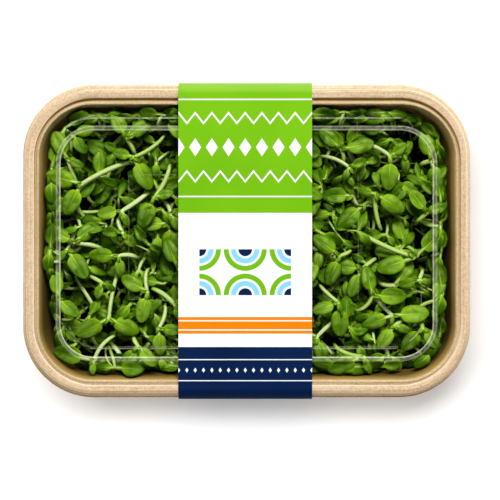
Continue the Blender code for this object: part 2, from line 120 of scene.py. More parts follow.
# How far the rim is off a true rounded rectangle: to the front, to the right, and broader or
# slimmer on one pair of sides. The shifts grow over a rise above the wall and a reach inwards
RIM_SHIFT = 0.35 * MM
RIM_ASIDE = 0.3 * MM
RIDGE_FROM = 6.2 * MM
RIDGE_SHIFT = 0.38 * MM
RIDGE_WIDE = 0.2 * MM
BAND_BROAD = 0.6 * MM
MOUTH_SLIM = 0.85 * MM
MOUTH_LOW = 37.5 * MM
RIM_RISE = 3 * MM
RIM_REACH = 7 * MM
# The surface of moulded pulp: how far it waves, how far in it is on the whole, and its noise
FIBRE_WAVE = 0.09 * MM
FIBRE_DRAWN_IN = 1.4
BUMP_SCALE = 70
FINE_BUMP_SCALE = 260
FINE_BUMP = 0.4
LIFT_SCALE = 55
LIFT_OFFSET = Vector((3, 5, 7))
# Painted shade: on the inside of the wall, darker with depth and weaker at the back, and on the
# groove's floor
MOUTH_INSET = 8.2 * MM
MOUTH_TOP = 41 * MM
BACK_SHADE_CUT = 0.6
WALL_FADE = 5 * MM
GROOVE_DEEP = 1 * MM
GROOVE_SHADE = 0.45
# The band's inner edge has a painted highlight, mostly at the front left. The lip has a line of
# painted shade at the front left and a line of painted highlight at the back right
HIGHLIGHT_INSETS = (4.85 * MM, 5.3 * MM)
BAND_EDGE_HIGHLIGHT = 0.55
HIGHLIGHT_LEAN = 0.45
DARK_LINE = (1.25 * MM, 1.7 * MM)
DARK_LINE_SHADE = 0.6
PALE_LINE = (1.95 * MM, 2.4 * MM)
PALE_LINE_HIGHLIGHT = 0.8
ASIDE_BY_LENGTH = 0.6

# Lid: clear sheet with a raised bead round its panel. Its edge is stepped, in pairs in
# millimetres of inset from the rim's outer edge and height
LID_SHEET = 0.4 * MM
LID_TOP = 41.9 * MM
LID_STEPS = ((5.95, 41.3), (6.6, 41.4), (7.05, 41.9))
LID_WAVE = 0.05 * MM
LID_WAVE_SCALE = 45
BEAD_LENGTH = 184 * MM
BEAD_WIDTH = 113.2 * MM
BEAD_CORNER = 17.8 * MM
BEAD_FRONT_SHIFT = 1.2 * MM
BEAD_IN = (0.5 * MM, 0.15 * MM)
# The bead's section: inset and rise in millimetres, and which look the strip after it has
BEAD_PROFILE = (
    (-0.2, 0, 4), (0, 0.08, 4), (0.2, 0.25, 4), (0.36, 0.31, 2),
    (1.5, 0.31, 1), (1.66, 0.25, 1), (1.86, 0.08, 1), (2.06, 0, 0),
)
# Where the sheet's rings are between its edge and the bead, and from the bead to its middle
LEDGE_SHARES = (0.03, 0.2, 0.5, 0.8, 0.97)
PANEL_SHARES = (0.985, 0.9, 0.7, 0.5, 0.3, 0.12)
# Fine ribs and creases in the sheet: their section, and on the plan of the shoots the places
# along each, half its width in millimetres, and its look, whose white share is a painted highlight
RIB_SECTION = ((-1, -0.1), (-0.6, 0.12), (0, 0.2), (0.6, 0.12), (1, -0.1))
LID_LINES = (
    (((69, 126.5), (75, 122), (84, 119), (93, 118.2)), 0.5, 2),
    (((93, 118.2), (180, 118.2), (310, 118.2), (400, 118.2)), 0.45, 2),
    (((400, 118.2), (407, 120), (413, 128)), 0.35, 3),
    (((69, 326), (74, 336), (82, 343.5), (93, 347.5)), 0.4, 3),
    (((93, 347.5), (180, 347.5), (310, 347.5), (398, 347.5)), 0.75, 3),
    (((90, 348.4), (180, 348.4), (310, 348.4), (396, 348.4)), 0.22, 2),
    (((409, 341), (416, 335), (421, 327)), 0.35, 2),
    (((129, 176), (129, 220), (129, 260), (129, 299)), 0.2, 3),
    (((129, 299), (150, 300), (180, 300), (200, 300)), 0.2, 3),
    (((129, 176), (150, 175), (180, 175), (200, 175)), 0.2, 3),
    (((358, 176), (358, 220), (358, 260), (358, 299)), 0.2, 3),
    (((421, 270), (421, 283), (421, 297), (421, 310)), 0.3, 3),
    (((357, 122), (357, 126), (357, 131), (357, 136)), 0.35, 3),
)

# Sleeve: a closed card band round the tray, with a quarter-oval bend over each long side of
# the rim and another at the tray's foot
SLEEVE_X = -0.65 * MM
SLEEVE_WIDTH = 64.2 * MM
SLEEVE_TOP = 43.2 * MM
SLEEVE_REACH = 76.2 * MM
SLEEVE_BEND_RUN = 5.6 * MM
SLEEVE_BEND_DROP = 4.4 * MM
SLEEVE_FOOT_REACH = 59 * MM
SLEEVE_FOOT_RUN = 2.4 * MM
SLEEVE_FOOT_RISE = 2 * MM
CARD = 0.4 * MM
CARD_WAVE = 0.12 * MM
CARD_WAVE_SCALE = 28
# Steps round the band and rows of points across it
SLEEVE_TOP_STEPS = 18
BEND_STEPS = 14
SLEEVE_SIDE_STEPS = 6
FOOT_STEPS = 8
SLEEVE_UNDER_STEPS = 10
SLEEVE_COLUMNS = 17
# Where the printed panels change, as distance along the band from the middle of its top
GREEN_FROM = 13.5 * MM
NAVY_TO = -50.9 * MM
EDGE = 0.07 * MM
PRINT_WHITE = (0.83, 0.83, 0.82)
PRINT_GREEN = (0.17, 0.44, 0.006)
PRINT_SKY = (0.25, 0.58, 0.80)
PRINT_NAVY = (0.0004, 0.018, 0.075)
PRINT_ORANGE = (0.92, 0.23, 0.002)
# Rows of diamonds: middle, pitch, half width and half height, in millimetres
DIAMONDS = ((45, 8, 2.9, 4.4), (-62, 4, 0.8, 1.2))
# Zigzags: middle, pitch, height and stroke, in millimetres
ZIGZAGS = ((31, 8, 5, 1.3), (59, 8, -5, 1.3))
# Rules across the band: from, to and colour
RULES = (
    (21, 21.7, PRINT_WHITE), (67.6, 68.3, PRINT_WHITE),
    (-44.5, -36.5, PRINT_ORANGE), (-38.6, -38, PRINT_WHITE), (-43, -42.4, PRINT_WHITE),
    (-57.2, -56.7, PRINT_WHITE), (-67.3, -66.8, PRINT_WHITE),
    (88, 88.8, PRINT_WHITE), (91, 91.5, PRINT_WHITE),
    (-88.8, -88, PRINT_WHITE), (-91.5, -91, PRINT_WHITE),
)
# Rows of fans in the white panel: half circles of rings
FAN_RADIUS = 11 * MM
FAN_SPREAD = 22 * MM
FAN_FOOT = -26 * MM
FAN_RISE = 22 * MM
FAN_RINGS = (
    (0.94, PRINT_GREEN), (0.72, PRINT_WHITE), (0.62, PRINT_SKY),
    (0.4, PRINT_WHITE), (0.3, PRINT_NAVY),
)

# Bunches of shoots, in a grid of cells over the floor of the tray
COLUMNS = 6
ROWS = 4
CELLS = [(column, row) for column in range(COLUMNS) for row in range(ROWS)]
CELL_LENGTH = 29.5 * MM
CELL_WIDTH = 27.5 * MM
SHOOTS_PER_BUNCH = 4
SHOOTS_UNDER_SLEEVE = 3
# The low heap that each bunch stands in, coloured near black as painted shade
TANGLE_BOTTOM = 2.4 * MM
TANGLE_SHOULDER = 8 * MM
TANGLE_NUDGE = 0.97
HEAP_FILL = 0.998
HEAP_OUT = 8 * MM
HEAP_STEPS = 13
HEAP_BUMPS = 2.5 * MM
HEAP_NOISE = 160
HEAP_FALL = 3.5 * MM
HEAP_EDGE = 6

# Shoots: a stem and two seed leaves, each an oval blade on a narrow stalk
STEM_RADIUS = 1.3 * MM
STEM_ROOT = 6 * MM
STEM_SHOULDER = 2 * MM
STEM_SHOULDER_REACH = 0.6
STALK = 2 * MM
LEAF_THICKNESS = 0.7 * MM
LEAF_SUNK = 0.3 * MM
BLADE_LENGTH = 13.5 * MM
SHORTEST_STALK = 0.24
BLADE_ASPECT = 0.66
# Below 1 these move a blade's widest place towards its stalk and make its oval fuller
OVAL_LEAN = 0.8
OVAL_FULLNESS = 0.7
LEAF_ARCH = 1.6 * MM
# How far a leaf's habit lifts its tip, rolls it (in radians) and cups it, either way
TIP_LIFT = 1.5 * MM
TIP_DROOP = 0.3 * MM
LEAF_ROLL = 0.4
LEAF_CUP = 0.35

# Where shoots go: heights of their heads, gaps, and how they are drawn in from the wall
HIGHEST_HEAD = 37.5 * MM
LOWEST_HEAD = 19 * MM
LEVEL_STEP = 1.5 * MM
TOP_SPREAD = 2.5 * MM
LOOSE_SPREAD = 4 * MM
LEAF_GAP = 1.2 * MM
WALL_GAP = 0.4 * MM
DRAWN_IN = (1, 0.97, 0.94)
ROOT_MARGIN = 3 * MM
ROOT_REACH = 0.4
ROOT_NUDGE = 0.2
STEM_FEELERS = 20
# Seeded shoots: how many spots are tried for each, how far its head leans from its root, how
# far each leaf turns from that lean in radians, and how long a leaf is from head to tip
SEED = 7
TRIES = 14
HEAD_REACH = (5 * MM, 15 * MM)
LEAF_TURN = (0.5, 1.6)
LEAF_LENGTH = (13 * MM, 17 * MM)

# The shoots on top, on a plan whose steps are 0.4816 mm, with x to the right and y to the
# front: the visible foot of the stem, the head, and the tips of the two leaves
PLAN_STEP = 0.4816 * MM
PLAN_MIDDLE = (246.6, 241)
TOP_SHOOTS = (
    ((167, 122), (133, 157), (112, 151), (150, 189)),
    ((124, 268), (108, 319), (138, 333), (75, 336)),
    ((362, 232), (421, 258), (451, 229), (382, 271)),
    ((361, 270), (393, 316), (363, 326), (430, 313)),
    ((128, 163), (81, 184), (64, 214), (45, 174)),
    ((168, 163), (151, 196), (137, 227), (171, 190)),
    ((71, 277), (94, 311), (110, 317), (86, 326)),
    ((120, 340), (93, 361), (53, 351), (92, 375)),
    ((317, 156), (350, 167), (367, 159), (344, 180)),
    ((362, 145), (391, 156), (389, 190), (407, 143)),
    ((316, 289), (339, 303), (341, 337), (313, 312)),
    ((380, 235), (376, 194), (405, 211), (358, 189)),
    ((100, 249), (68, 243), (90, 223), (43, 228)),
    ((148, 269), (147, 292), (121, 277), (140, 323)),
    ((136, 259), (118, 256), (88, 255), (120, 277)),
    ((372, 150), (359, 141), (326, 124), (365, 119)),
    ((148, 190), (121, 211), (96, 214), (128, 226)),
    ((134, 250), (141, 239), (163, 226), (147, 270)),
    ((336, 345), (364, 357), (328, 371), (371, 374)),
    ((134, 154), (126, 138), (112, 111), (149, 120)),
    ((122, 172), (112, 158), (85, 140), (96, 203)),
    ((432, 168), (438, 158), (430, 127), (447, 188)),
    ((425, 305), (441, 303), (450, 278), (447, 328)),
    ((422, 320), (429, 331), (445, 352), (408, 354)),
    ((150, 290), (174, 305), (188, 296), (181, 322)),
    ((352, 250), (340, 256), (314, 236), (328, 285)),
    ((362, 278), (350, 302), (376, 306), (338, 318)),
    ((372, 290), (364, 271), (335, 260), (373, 247)),
    ((380, 208), (369, 203), (342, 227), (386, 190)),
    ((365, 204), (361, 192), (328, 192), (352, 172)),
    ((60, 232), (66, 249), (86, 278), (55, 262)),
    ((60, 312), (57, 299), (55, 272), (78, 316)),
    ((365, 142), (374, 132), (404, 120), (350, 117)),
    ((405, 320), (400, 328), (383, 352), (418, 336)),
    ((383, 348), (394, 360), (408, 374), (372, 366)),
    ((418, 222), (428, 213), (411, 190), (448, 204)),
    ((345, 205), (337, 213), (316, 214), (346, 230)),
    ((163, 203), (170, 214), (181, 231), (190, 210)),
    ((163, 305), (158, 329), (160, 356), (182, 331)),
    ((70, 184), (67, 160), (53, 131), (83, 166)),
    ((400, 172), (408, 178), (431, 189), (404, 195)),
    ((410, 140), (416, 149), (418, 169), (424, 134)),
    ((121, 218), (114, 232), (91, 231), (126, 247)),
    ((88, 276), (101, 283), (96, 299), (114, 290)),
    ((168, 318), (163, 294), (180, 271), (150, 312)),
    ((185, 262), (178, 268), (165, 238), (192, 286)),
    ((108, 345), (115, 361), (118, 376), (136, 362)),
    ((160, 350), (157, 360), (162, 377), (143, 366)),
    ((58, 150), (66, 131), (89, 124), (80, 150)),
    ((425, 270), (420, 280), (400, 286), (433, 284)),
)

Leaf = namedtuple("Leaf", "base tip half_width stalk roll cup")
Shoot = namedtuple("Shoot", "bunch stem leaves")

# Fine leaves: shares of stalk and blade where rows of points are, and places across them
STALK_ROWS = (0, 0.35, 0.7)
FINE_ROWS = (0, 0.05, 0.11, 0.19, 0.29, 0.4, 0.52, 0.64, 0.75, 0.85, 0.92, 0.97, 0.996)
FINE_ACROSS = (-1, -0.82, -0.56, -0.28, 0, 0.28, 0.56, 0.82, 1)
SMALL_ROWS = (0, 0.12, 0.3, 0.5, 0.7, 0.87, 0.99)
SMALL_ACROSS = (-1, -0.55, 0, 0.55, 1)
# Their form: blunter and broader than the plain leaf, thinner at the edge, and waved
BLUNTNESS = 0.44
BROADNESS = 1.04
EDGE_THINNING = 0.62
SMALL_THICKNESS = 0.7
MIDRIB_DIP = 0.34 * MM
MIDRIB_WIDTH = 0.2
HALF_PUFF = 0.3 * MM
MARGIN_WAVE = 0.5 * MM
MARGIN_TURNS = (1.2, 2.4)
MARGIN_LAG = (0.5, 2.5)
WAVE_PHASE = (0, 6.28)
# Twist, fold and curl of a leaf that is quite wild, and how wild the large leaves, those at
# the wall and the buds are
LEAF_TWIST = 1.1
TWIST_FROM = 0.3
LEAF_FOLD = 0.9
FOLD_RANGE = (-0.2, 1)
LEAF_CURL = 1.3
CURL_RANGE = (-0.3, 1)
FINE_WILD = 0.25
WALL_WILD = 0.5
BUD_WILD = 0.5

# Fine stems: sides and ribs round them, and how thick they are at shares of their length
FINE_SECTION = (12, 4)
SMALL_SECTION = (6, 0)
RIB_DEPTH = 0.07
STEM_SWELL = ((0, 0.3, 0.6, 0.85, 0.95, 1), (0.6, 0.8, 1, 0.96, 0.86, 0.55))
STEM_SCALE = (0.74, 1.0)
STEM_BOW = 2.2 * MM
STEM_BOW_RUN = 12 * MM
BOW_LEAN = 1.3
SMALL_STEM_POINTS = 9
ANY_SLANT = (0.3, 0.5, 0.81)
# How far under its head a raised stem runs at its points, and how far along it they are
STEM_DROPS = ((1, 6.5), (2, 2.4), (3, 1.3), (4, 0.6))
STEM_RUNS = (0, 0.03, 0.16, 0.42, 0.72, 1)
# How much stems may be raised, the gap they keep, and the points at their root that needn't
LIFTS = (1.0, 0.75, 0.5, 0.25, 0.0)
LIFT_GAP = 0.1 * MM
STEM_ROOTED = 8
# A leaf's stalk as a tube: a point on the stalk, points on the blade, how far under the leaf
# they are in millimetres, and its thickness as for a stem
FORK_SHARE = 0.25
STALK_STOP = 0.45
BLADE_STOPS = (0, 0.12, 0.3)
STALK_SUNK = (0, 0, 0.25, 0.45)
STALK_SWELL = ((0, 0.3, 0.6, 0.8, 1), (1.02, 0.95, 0.75, 0.5, 0.18))
STALK_SHARES = (0.75, 1.5)
SMALL_STALK = 0.8
# Buds in the fork
BUD_LENGTH = (2.6 * MM, 4.6 * MM)
BUD_RISE = 0.25
BUD_ASPECT = 0.42
BUD_SUNK = 0.3
BUD_STALK = 0.1
BUD_ROLL = (-0.3, 0.3)
BUD_CUP = 0.6
BUD_TURN = (0.4, 1.3)
BUD_CHANCE = (0.6, 1.6)

# Younger shoots lower down: how many are tried for each cell, where they are, how large and
# how much painted shade darkens their leaves
SMALL_TURNS = 3
SMALL_PER_TURN = 14
SMALL_TRIES = 6
SMALL_HEAD = (12 * MM, 34 * MM)
SMALL_MARGIN = 1.2 * MM
SMALL_REACH = (4 * MM, 9 * MM)
SMALL_LEAF = (7 * MM, 14 * MM)
SMALL_LEAN = (-1.2, 1.2)
SMALL_TURN = (0.5, 1.7)
SMALL_HABIT = 1.8
SMALL_GAP = -0.6 * MM
SMALL_STEM = (0.5 * MM, 1.0 * MM)
SMALL_PAINTED_SHADE = 0.35
# Those that lean on the wall, whose leaves get more painted shade
WALL_PER_TURN = 11
WALL_HEAD = (25 * MM, 36.5 * MM)
WALL_BELT = 7 * MM
WALL_LEAF = (9 * MM, 15 * MM)
WALL_SPARE = (0.1 * MM, 0.8 * MM)
WALL_PAINTED_SHADE = 1.0
WALL_TRIES = 60
WALL_TURN = (1.25, 1.75)
SLOPE_STEP = 0.5 * MM
# Thin stems that lie across the others
STRAYS_PER_TURN = 5
STRAY_HEAD = (15 * MM, 31 * MM)
STRAY_REACH = (12 * MM, 24 * MM)
STRAY_LEAF = (4 * MM, 7 * MM)
STRAY_TURN = (0.3, 1.2)
# Under the sleeve the tries for small and stray shoots are divided by this and rounded down
HIDDEN_SHARE = 3

# Camera, floor and light. Each lamp has a name, a place, a size, a power, and what it lights
# where that isn't everything
CAMERA_AT = (1.64 * MM, -4.33 * MM, 843 * MM)
CAMERA_LENS = 120
FLOOR_GLOW = 0.2
FLOOR_REACH = 3
WORLD_STRENGTH = 1.7
LIGHTS = (
    ("key", (0.36, 2.28, 2.78), (1.9, 1.4), 144, "object"),
    ("top", (-0.06, 0.36, 1.6), (0.6, 0.6), 2, None),
    ("floor", (-0.2, 0.45, 1.57), (1.2, 0.5), 19.4, "floor"),
)


# Room, cells and the placing of the large shoots, as the solids have them


def clamp(value, low=0, high=1):
    return max(low, min(high, value))


def wall_inset(z):
    """How far the inner wall is inside the rim's outer edge at a height above its foot."""
    return WALL_INSET + (WALL_TOP - z) * WALL_TAPER


def room_at(point, z):
    """Distance from a point to the tray's inner wall at height z, negative outside."""
    inset = wall_inset(max(z, WALL_FOOT))
    if z < WALL_FOOT:
        inset += (WALL_FOOT - z) * BEND_FLARE
    radius = TRAY_CORNER - inset
    dx = abs(point.x) - (TRAY_LENGTH / 2 - inset) + radius
    dy = abs(point.y) - (TRAY_WIDTH / 2 - inset * WIDTH_INSET_RATIO) + radius
    return radius - math.hypot(max(dx, 0), max(dy, 0)) - min(max(dx, dy), 0)


def on_plan(spot):
    """A spot of the plan in metres."""
    x = (spot[0] - PLAN_MIDDLE[0]) * PLAN_STEP
    y = (PLAN_MIDDLE[1] - spot[1]) * PLAN_STEP
    return Vector((x, y, 0))


def cell_middle(column, row):
    x = (column - (COLUMNS - 1) / 2) * CELL_LENGTH
    y = (row - (ROWS - 1) / 2) * CELL_WIDTH
    return Vector((x, y, 0))


def cell_of(point):
    """The cell that a point is over, or the nearest one."""
    column = round(point.x / CELL_LENGTH + (COLUMNS - 1) / 2)
    row = round(point.y / CELL_WIDTH + (ROWS - 1) / 2)
    return clamp(column, 0, COLUMNS - 1), clamp(row, 0, ROWS - 1)


def is_hidden(cell):
    """Whether a cell is under the sleeve."""
    return abs(cell_middle(*cell).x) < SLEEVE_WIDTH / 4


def rooted(point, cell):
    """The nearest spot to a point inside a cell's heap and the tray, for a stem to rise from."""
    middle = cell_middle(*cell)
    spot = Vector((point.x, point.y, 0))
    away = spot - middle
    over = math.hypot(away.x / CELL_LENGTH, away.y / CELL_WIDTH) / ROOT_REACH
    if over > 1:
        spot = middle + away / over
    while room_at(spot, STEM_ROOT) < ROOT_MARGIN:
        spot = spot.lerp(middle, ROOT_NUDGE)
    return spot


def grow_leaf(head, tip, lift, roll, cup):
    length = (tip - head).length
    stalk = max(SHORTEST_STALK, 1 - BLADE_LENGTH / length)
    half_width = (1 - stalk) * length * BLADE_ASPECT / 2
    base = head - (tip - head).normalized() * LEAF_SUNK
    return Leaf(base, tip + UP * lift, half_width, stalk, roll, cup)


def grow_shoot(cell, root, head, tips, level, habit):
    """A shoot whose head is at a given height, with a habit from random_habit."""
    foot = root + UP * STEM_ROOT
    top = head + UP * level
    above = root + UP * (level - STEM_SHOULDER)
    stem = (foot, above, above.lerp(top, STEM_SHOULDER_REACH), top)
    leaves = []
    for side, tip in enumerate(tips):
        lift = habit[side] * TIP_LIFT - TIP_DROOP
        roll = habit[2 + side] * LEAF_ROLL
        cup = habit[4 + side] * LEAF_CUP
        leaves.append(grow_leaf(top, tip + UP * level, lift, roll, cup))
    return Shoot(cell, stem, leaves)


def leaf_half_width(leaf, along, fullness=OVAL_FULLNESS, broadness=1):
    """Half the width of a leaf at a share of its length: a narrow stalk, then an oval blade."""
    if along <= leaf.stalk:
        return STALK / 2
    share = (along - leaf.stalk) / (1 - leaf.stalk)
    swell = math.sin(math.pi * share**OVAL_LEAN) if share < 1 else 0
    return max(leaf.half_width * broadness * swell**fullness, STALK / 2 * (1 - share))


def leaf_point(leaf, along, across):
    """A point of a leaf's middle surface, along from 0 to 1 and across from -1 to 1."""
    course = leaf.tip - leaf.base
    side = UP.cross(course).normalized()
    face = course.cross(side).normalized()
    rolled = side * math.cos(leaf.roll) + face * math.sin(leaf.roll)
    width = leaf_half_width(leaf, along)
    middle = leaf.base + course * along + UP * LEAF_ARCH * 4 * along * (1 - along)
    return middle + rolled * across * width + face * leaf.cup * width * across**2


def feelers(shoot):
    """Points spread over a shoot, each with how thick the shoot is there."""
    points = [(point, STEM_RADIUS) for point in interpolate_bezier(*shoot.stem, STEM_FEELERS)]
    for leaf in shoot.leaves:
        for step in range(2, 11):
            for across in (-1, -0.5, 0, 0.5, 1):
                points.append((leaf_point(leaf, step / 10, across), LEAF_THICKNESS / 2))
    return points


def is_clear(points, taken, tree, gap=LEAF_GAP):
    """Whether a shoot is inside the tray, under the lid and clear of the shoots before it."""
    ceiling = LID_TOP - LID_SHEET - WALL_GAP
    for point, radius in points:
        if point.z + radius > ceiling or room_at(point, point.z) < radius + WALL_GAP:
            return False
    for point, radius in points:
        for _, index, distance in tree.find_range(point, radius + STEM_RADIUS + gap):
            if distance < radius + taken[index][1] + gap:
                return False
    return True


def settle(cell, root, head, tips, habit, start, taken, tree):
    """The highest clear place for a shoot, drawn in from the wall where it has to be."""
    level = start
    while level >= LOWEST_HEAD:
        for pull in DRAWN_IN:
            drawn = [tip * pull for tip in tips]
            shoot = grow_shoot(cell, root, head * pull, drawn, level, habit)
            points = feelers(shoot)
            if is_clear(points, taken, tree):
                return shoot, points, level
        level -= LEVEL_STEP
    return None, [], 0


def tree_of(taken):
    """A tree that finds the entries near a point."""
    tree = KDTree(max(len(taken), 1))
    for index, entry in enumerate(taken):
        tree.insert(entry[0], index)
    tree.balance()
    return tree


def heading(angle, length, rise=0):
    """A step in a direction given in radians."""
    return Vector((math.cos(angle), math.sin(angle), rise)) * length


def random_habit(draw, scale=1):
    """Six numbers that say how far a shoot's two leaves lift, roll and cup, either way."""
    return [draw.uniform(-1, 1) * scale for _ in range(6)]


def spread_tips(draw, head, course, turn, reach):
    """The tips of two leaves, turned either way from a course."""
    tips = []
    for side in (1, -1):
        angle = course + side * draw.uniform(*turn)
        tips.append(head + heading(angle, draw.uniform(*reach)))
    return tips


def random_shoot(draw, cell):
    spread = Vector((draw.uniform(-0.5, 0.5) * CELL_LENGTH, draw.uniform(-0.5, 0.5) * CELL_WIDTH))
    root = rooted(cell_middle(*cell) + spread.to_3d(), cell)
    course = draw.uniform(*ANY_WAY)
    head = root + heading(course, draw.uniform(*HEAD_REACH))
    return root, head, spread_tips(draw, head, course, LEAF_TURN, LEAF_LENGTH)


def place_shoots():
    """The shoots on top first, then seeded ones until each bunch has its number."""
    draw = random.Random(SEED)
    shoots = []
    taken = []

    def keep(shoot, points):
        if shoot:
            shoots.append(shoot)
            taken.extend(points)

    for spots in TOP_SHOOTS:
        habit = random_habit(draw)
        foot, head, *tips = [on_plan(spot) for spot in spots]
        cell = cell_of(foot)
        root = rooted(foot, cell)
        start = HIGHEST_HEAD - draw.uniform(0, TOP_SPREAD)
        keep(*settle(cell, root, head, tips, habit, start, taken, tree_of(taken))[:2])
    for turn in range(SHOOTS_PER_BUNCH):
        for cell in CELLS:
            placed = sum(shoot.bunch == cell for shoot in shoots)
            if placed > turn or (is_hidden(cell) and turn == SHOOTS_UNDER_SLEEVE):
                continue
            tree = tree_of(taken)
            best = (None, [], 0)
            for _ in range(TRIES):
                root, head, tips = random_shoot(draw, cell)
                habit = random_habit(draw)
                start = HIGHEST_HEAD - draw.uniform(0, LOOSE_SPREAD)
                found = settle(cell, root, head, tips, habit, start, taken, tree)
                if found[2] > best[2]:
                    best = found
            keep(*best[:2])
    return shoots


# Meshes


def new_mesh_object(name, points, faces, slots, materials=None, facts=None, smooth=True):
    """An object from plain lists, with float attributes for its shaders."""
    mesh = bpy.data.meshes.new(name)
    mesh.from_pydata(points, [], faces)
    for slot in slots:
        mesh.materials.append(slot)
    if materials is not None:
        mesh.polygons.foreach_set("material_index", materials)
    mesh.polygons.foreach_set("use_smooth", [smooth] * len(mesh.polygons))
    for key, values in (facts or {}).items():
        layer = mesh.attributes.new(key, "FLOAT", "POINT")
        layer.data.foreach_set("value", values)
    mesh.update()
    item = bpy.data.objects.new(name, mesh)
    bpy.context.scene.collection.objects.link(item)
    return item


def quads(rows, columns, closed=False):
    """Quads of a grid of points, as rows of four indices. Closed rows are rings."""
    steps = np.arange(columns if closed else columns - 1)
    row, here = np.meshgrid(np.arange(rows - 1) * columns, steps, indexing="ij")
    after = (here + 1) % columns
    corners = (row + here, row + after, row + columns + after, row + columns + here)
    return np.stack([corner.ravel() for corner in corners], axis=1)


def capped_rings(rings, count):
    """Faces between closed rings of points, with a cap on the first and the last ring."""
    last = (rings - 1) * count
    caps = [tuple(reversed(range(count))), tuple(range(last, last + count))]
    return quads(rings, count, True).tolist() + caps


def joined(ring, size):
    """Quads between a closed ring of points and the same ring, size points further on."""
    after = np.roll(ring, -1)
    return np.stack([ring, after, after + size, ring + size], axis=1)


def distances(line):
    """How far along a line each of its points is."""
    return np.concatenate([[0], np.cumsum([math.dist(a, b) for a, b in zip(line, line[1:])])])


def unit(vectors):
    length = np.linalg.norm(vectors, axis=-1, keepdims=True)
    return vectors / np.maximum(length, 1e-12)


def smooth_line(knots, steps):
    """A smooth line through all of its knots."""
    knots = [np.array(knot, float) for knot in knots]
    knots = [2 * knots[0] - knots[1]] + knots + [2 * knots[-1] - knots[-2]]
    points = []
    for a, b, c, d in zip(knots, knots[1:], knots[2:], knots[3:]):
        for step in range(steps):
            t = step / steps
            points.append(
                0.5 * (2 * b + (c - a) * t + (2 * a - 5 * b + 4 * c - d) * t**2
                       + (3 * b - a - 3 * c + d) * t**3)
            )
    points.append(knots[-2])
    return points


# Shader helpers. A socket knows its own tree of nodes


def feed(inputs, values):
    """Sets inputs of a node by key, each to another node's output, a number or a colour."""
    for key, value in values.items():
        socket = inputs[key]
        if isinstance(value, bpy.types.NodeSocket):
            socket.id_data.links.new(value, socket)
        elif socket.type == "RGBA":
            socket.default_value = (*value, 1)
        else:
            socket.default_value = value


def add_node(tree, kind, values=(), **settings):
    made = tree.nodes.new("ShaderNode" + kind)
    for key, value in settings.items():
        setattr(made, key, value)
    feed(made.inputs, dict(values))
    return made


def calc(operation, *values):
    return add_node(values[0].id_data, "Math", enumerate(values), operation=operation).outputs[0]


def ramp(value, *limits):
    """A smooth step as value goes from low to high, from 0 to 1 or between two more limits."""
    inputs = enumerate((value, *limits))
    return add_node(value.id_data, "MapRange", inputs, interpolation_type="SMOOTHSTEP").outputs[0]


def mix(factor, first, second):
    inputs = {0: factor, 6: first, 7: second}
    return add_node(factor.id_data, "Mix", inputs, data_type="RGBA").outputs[2]


def paint(color, layers):
    """Lays tints over a colour, each as its value goes from low to high and up to a share."""
    for value, low, high, share, tint in layers:
        color = mix(ramp(value, low, high, 0, share), color, tint)
    return color


def noise_at(tree, scale, detail=3, stretch=None, roughness=0.5, source="Object"):
    coords = add_node(tree, "TexCoord").outputs[source]
    if stretch:
        coords = add_node(tree, "Mapping", {"Vector": coords, "Scale": stretch}).outputs[0]
    inputs = {"Vector": coords, "Scale": scale, "Detail": detail, "Roughness": roughness}
    return add_node(tree, "TexNoise", inputs).outputs[0]


def fact(tree, name):
    return add_node(tree, "Attribute", attribute_name=name).outputs["Fac"]


def part_of(vector, axis):
    return add_node(vector.id_data, "SeparateXYZ", {"Vector": vector}).outputs[axis]


def bump(height, distance, strength):
    inputs = {"Height": height, "Distance": distance, "Strength": strength}
    return add_node(height.id_data, "Bump", inputs).outputs[0]


def start_material(name):
    material = bpy.data.materials.new(name)
    material.use_nodes = True
    tree = material.node_tree
    return material, tree, tree.nodes["Principled BSDF"]


# Fibre tray


def fibre_material():
    material, tree, shader = start_material("moulded_fibre_look")
    cloud = noise_at(tree, 90)
    grain = noise_at(tree, 900, 4, roughness=0.7)
    speck = noise_at(tree, 2300, 2)
    threads = noise_at(tree, 700, 3, (0.22, 1, 1), source="UV")
    streaks = noise_at(tree, 1500, 2, (0.012, 1, 1), source="UV")
    flecks = noise_at(tree, 1600, 2, (1, 0.2, 0.9))
    sprigs = noise_at(tree, 1500, 2, (0.25, 1, 0.8))
    height = part_of(add_node(tree, "TexCoord").outputs["Object"], 2)
    on_rim = ramp(height, OUTER_WALL_TOP, OUTER_WALL_TOP + 1.5 * MM, 0.12, 1)
    streaks = calc("ADD", calc("MULTIPLY", calc("SUBTRACT", streaks, 0.49), on_rim), 0.49)
    painted_light = fact(tree, "inner")
    color = mix(ramp(grain, 0.3, 0.7), (0.49, 0.35, 0.205), (0.70, 0.55, 0.375))
    color = paint(color, (
        (cloud, 0.3, 0.7, 0.35, (0.70, 0.545, 0.39)),
        (streaks, 0.5, 0.68, 0.5, (0.44, 0.30, 0.165)),
        (streaks, 0.48, 0.34, 0.4, (0.78, 0.635, 0.47)),
        (threads, 0.56, 0.72, 0.35, (0.42, 0.285, 0.155)),
        (flecks, 0.6, 0.7, 0.3, (0.78, 0.64, 0.47)),
        (sprigs, 0.61, 0.71, 0.35, (0.40, 0.27, 0.14)),
        # Painted light: pale where it is below 0 as painted highlight, brown to near black as it
        # rises as painted shade
        (painted_light, 0, -1, 0.65, (0.90, 0.77, 0.62)),
        (painted_light, 0, 0.4, 0.7, (0.53, 0.365, 0.145)),
        (painted_light, 0.3, 1, 0.78, (0.32, 0.205, 0.05)),
        (painted_light, 0.9, 2, 0.8, (0.10, 0.07, 0.012)),
        (speck, 0.66, 0.78, 0.5, (0.31, 0.19, 0.09)),
    ))
    relief = calc("ADD", calc("MULTIPLY", threads, 0.8), grain)
    relief = calc("SUBTRACT", relief, calc("MULTIPLY", streaks, 1.4))
    feed(shader.inputs, {
        "Base Color": color,
        "Roughness": ramp(grain, 0.2, 0.8, 0.96, 0.82),
        "Specular IOR Level": 0.08,
        "Normal": bump(relief, 0.12 * MM, 0.8),
    })
    return material


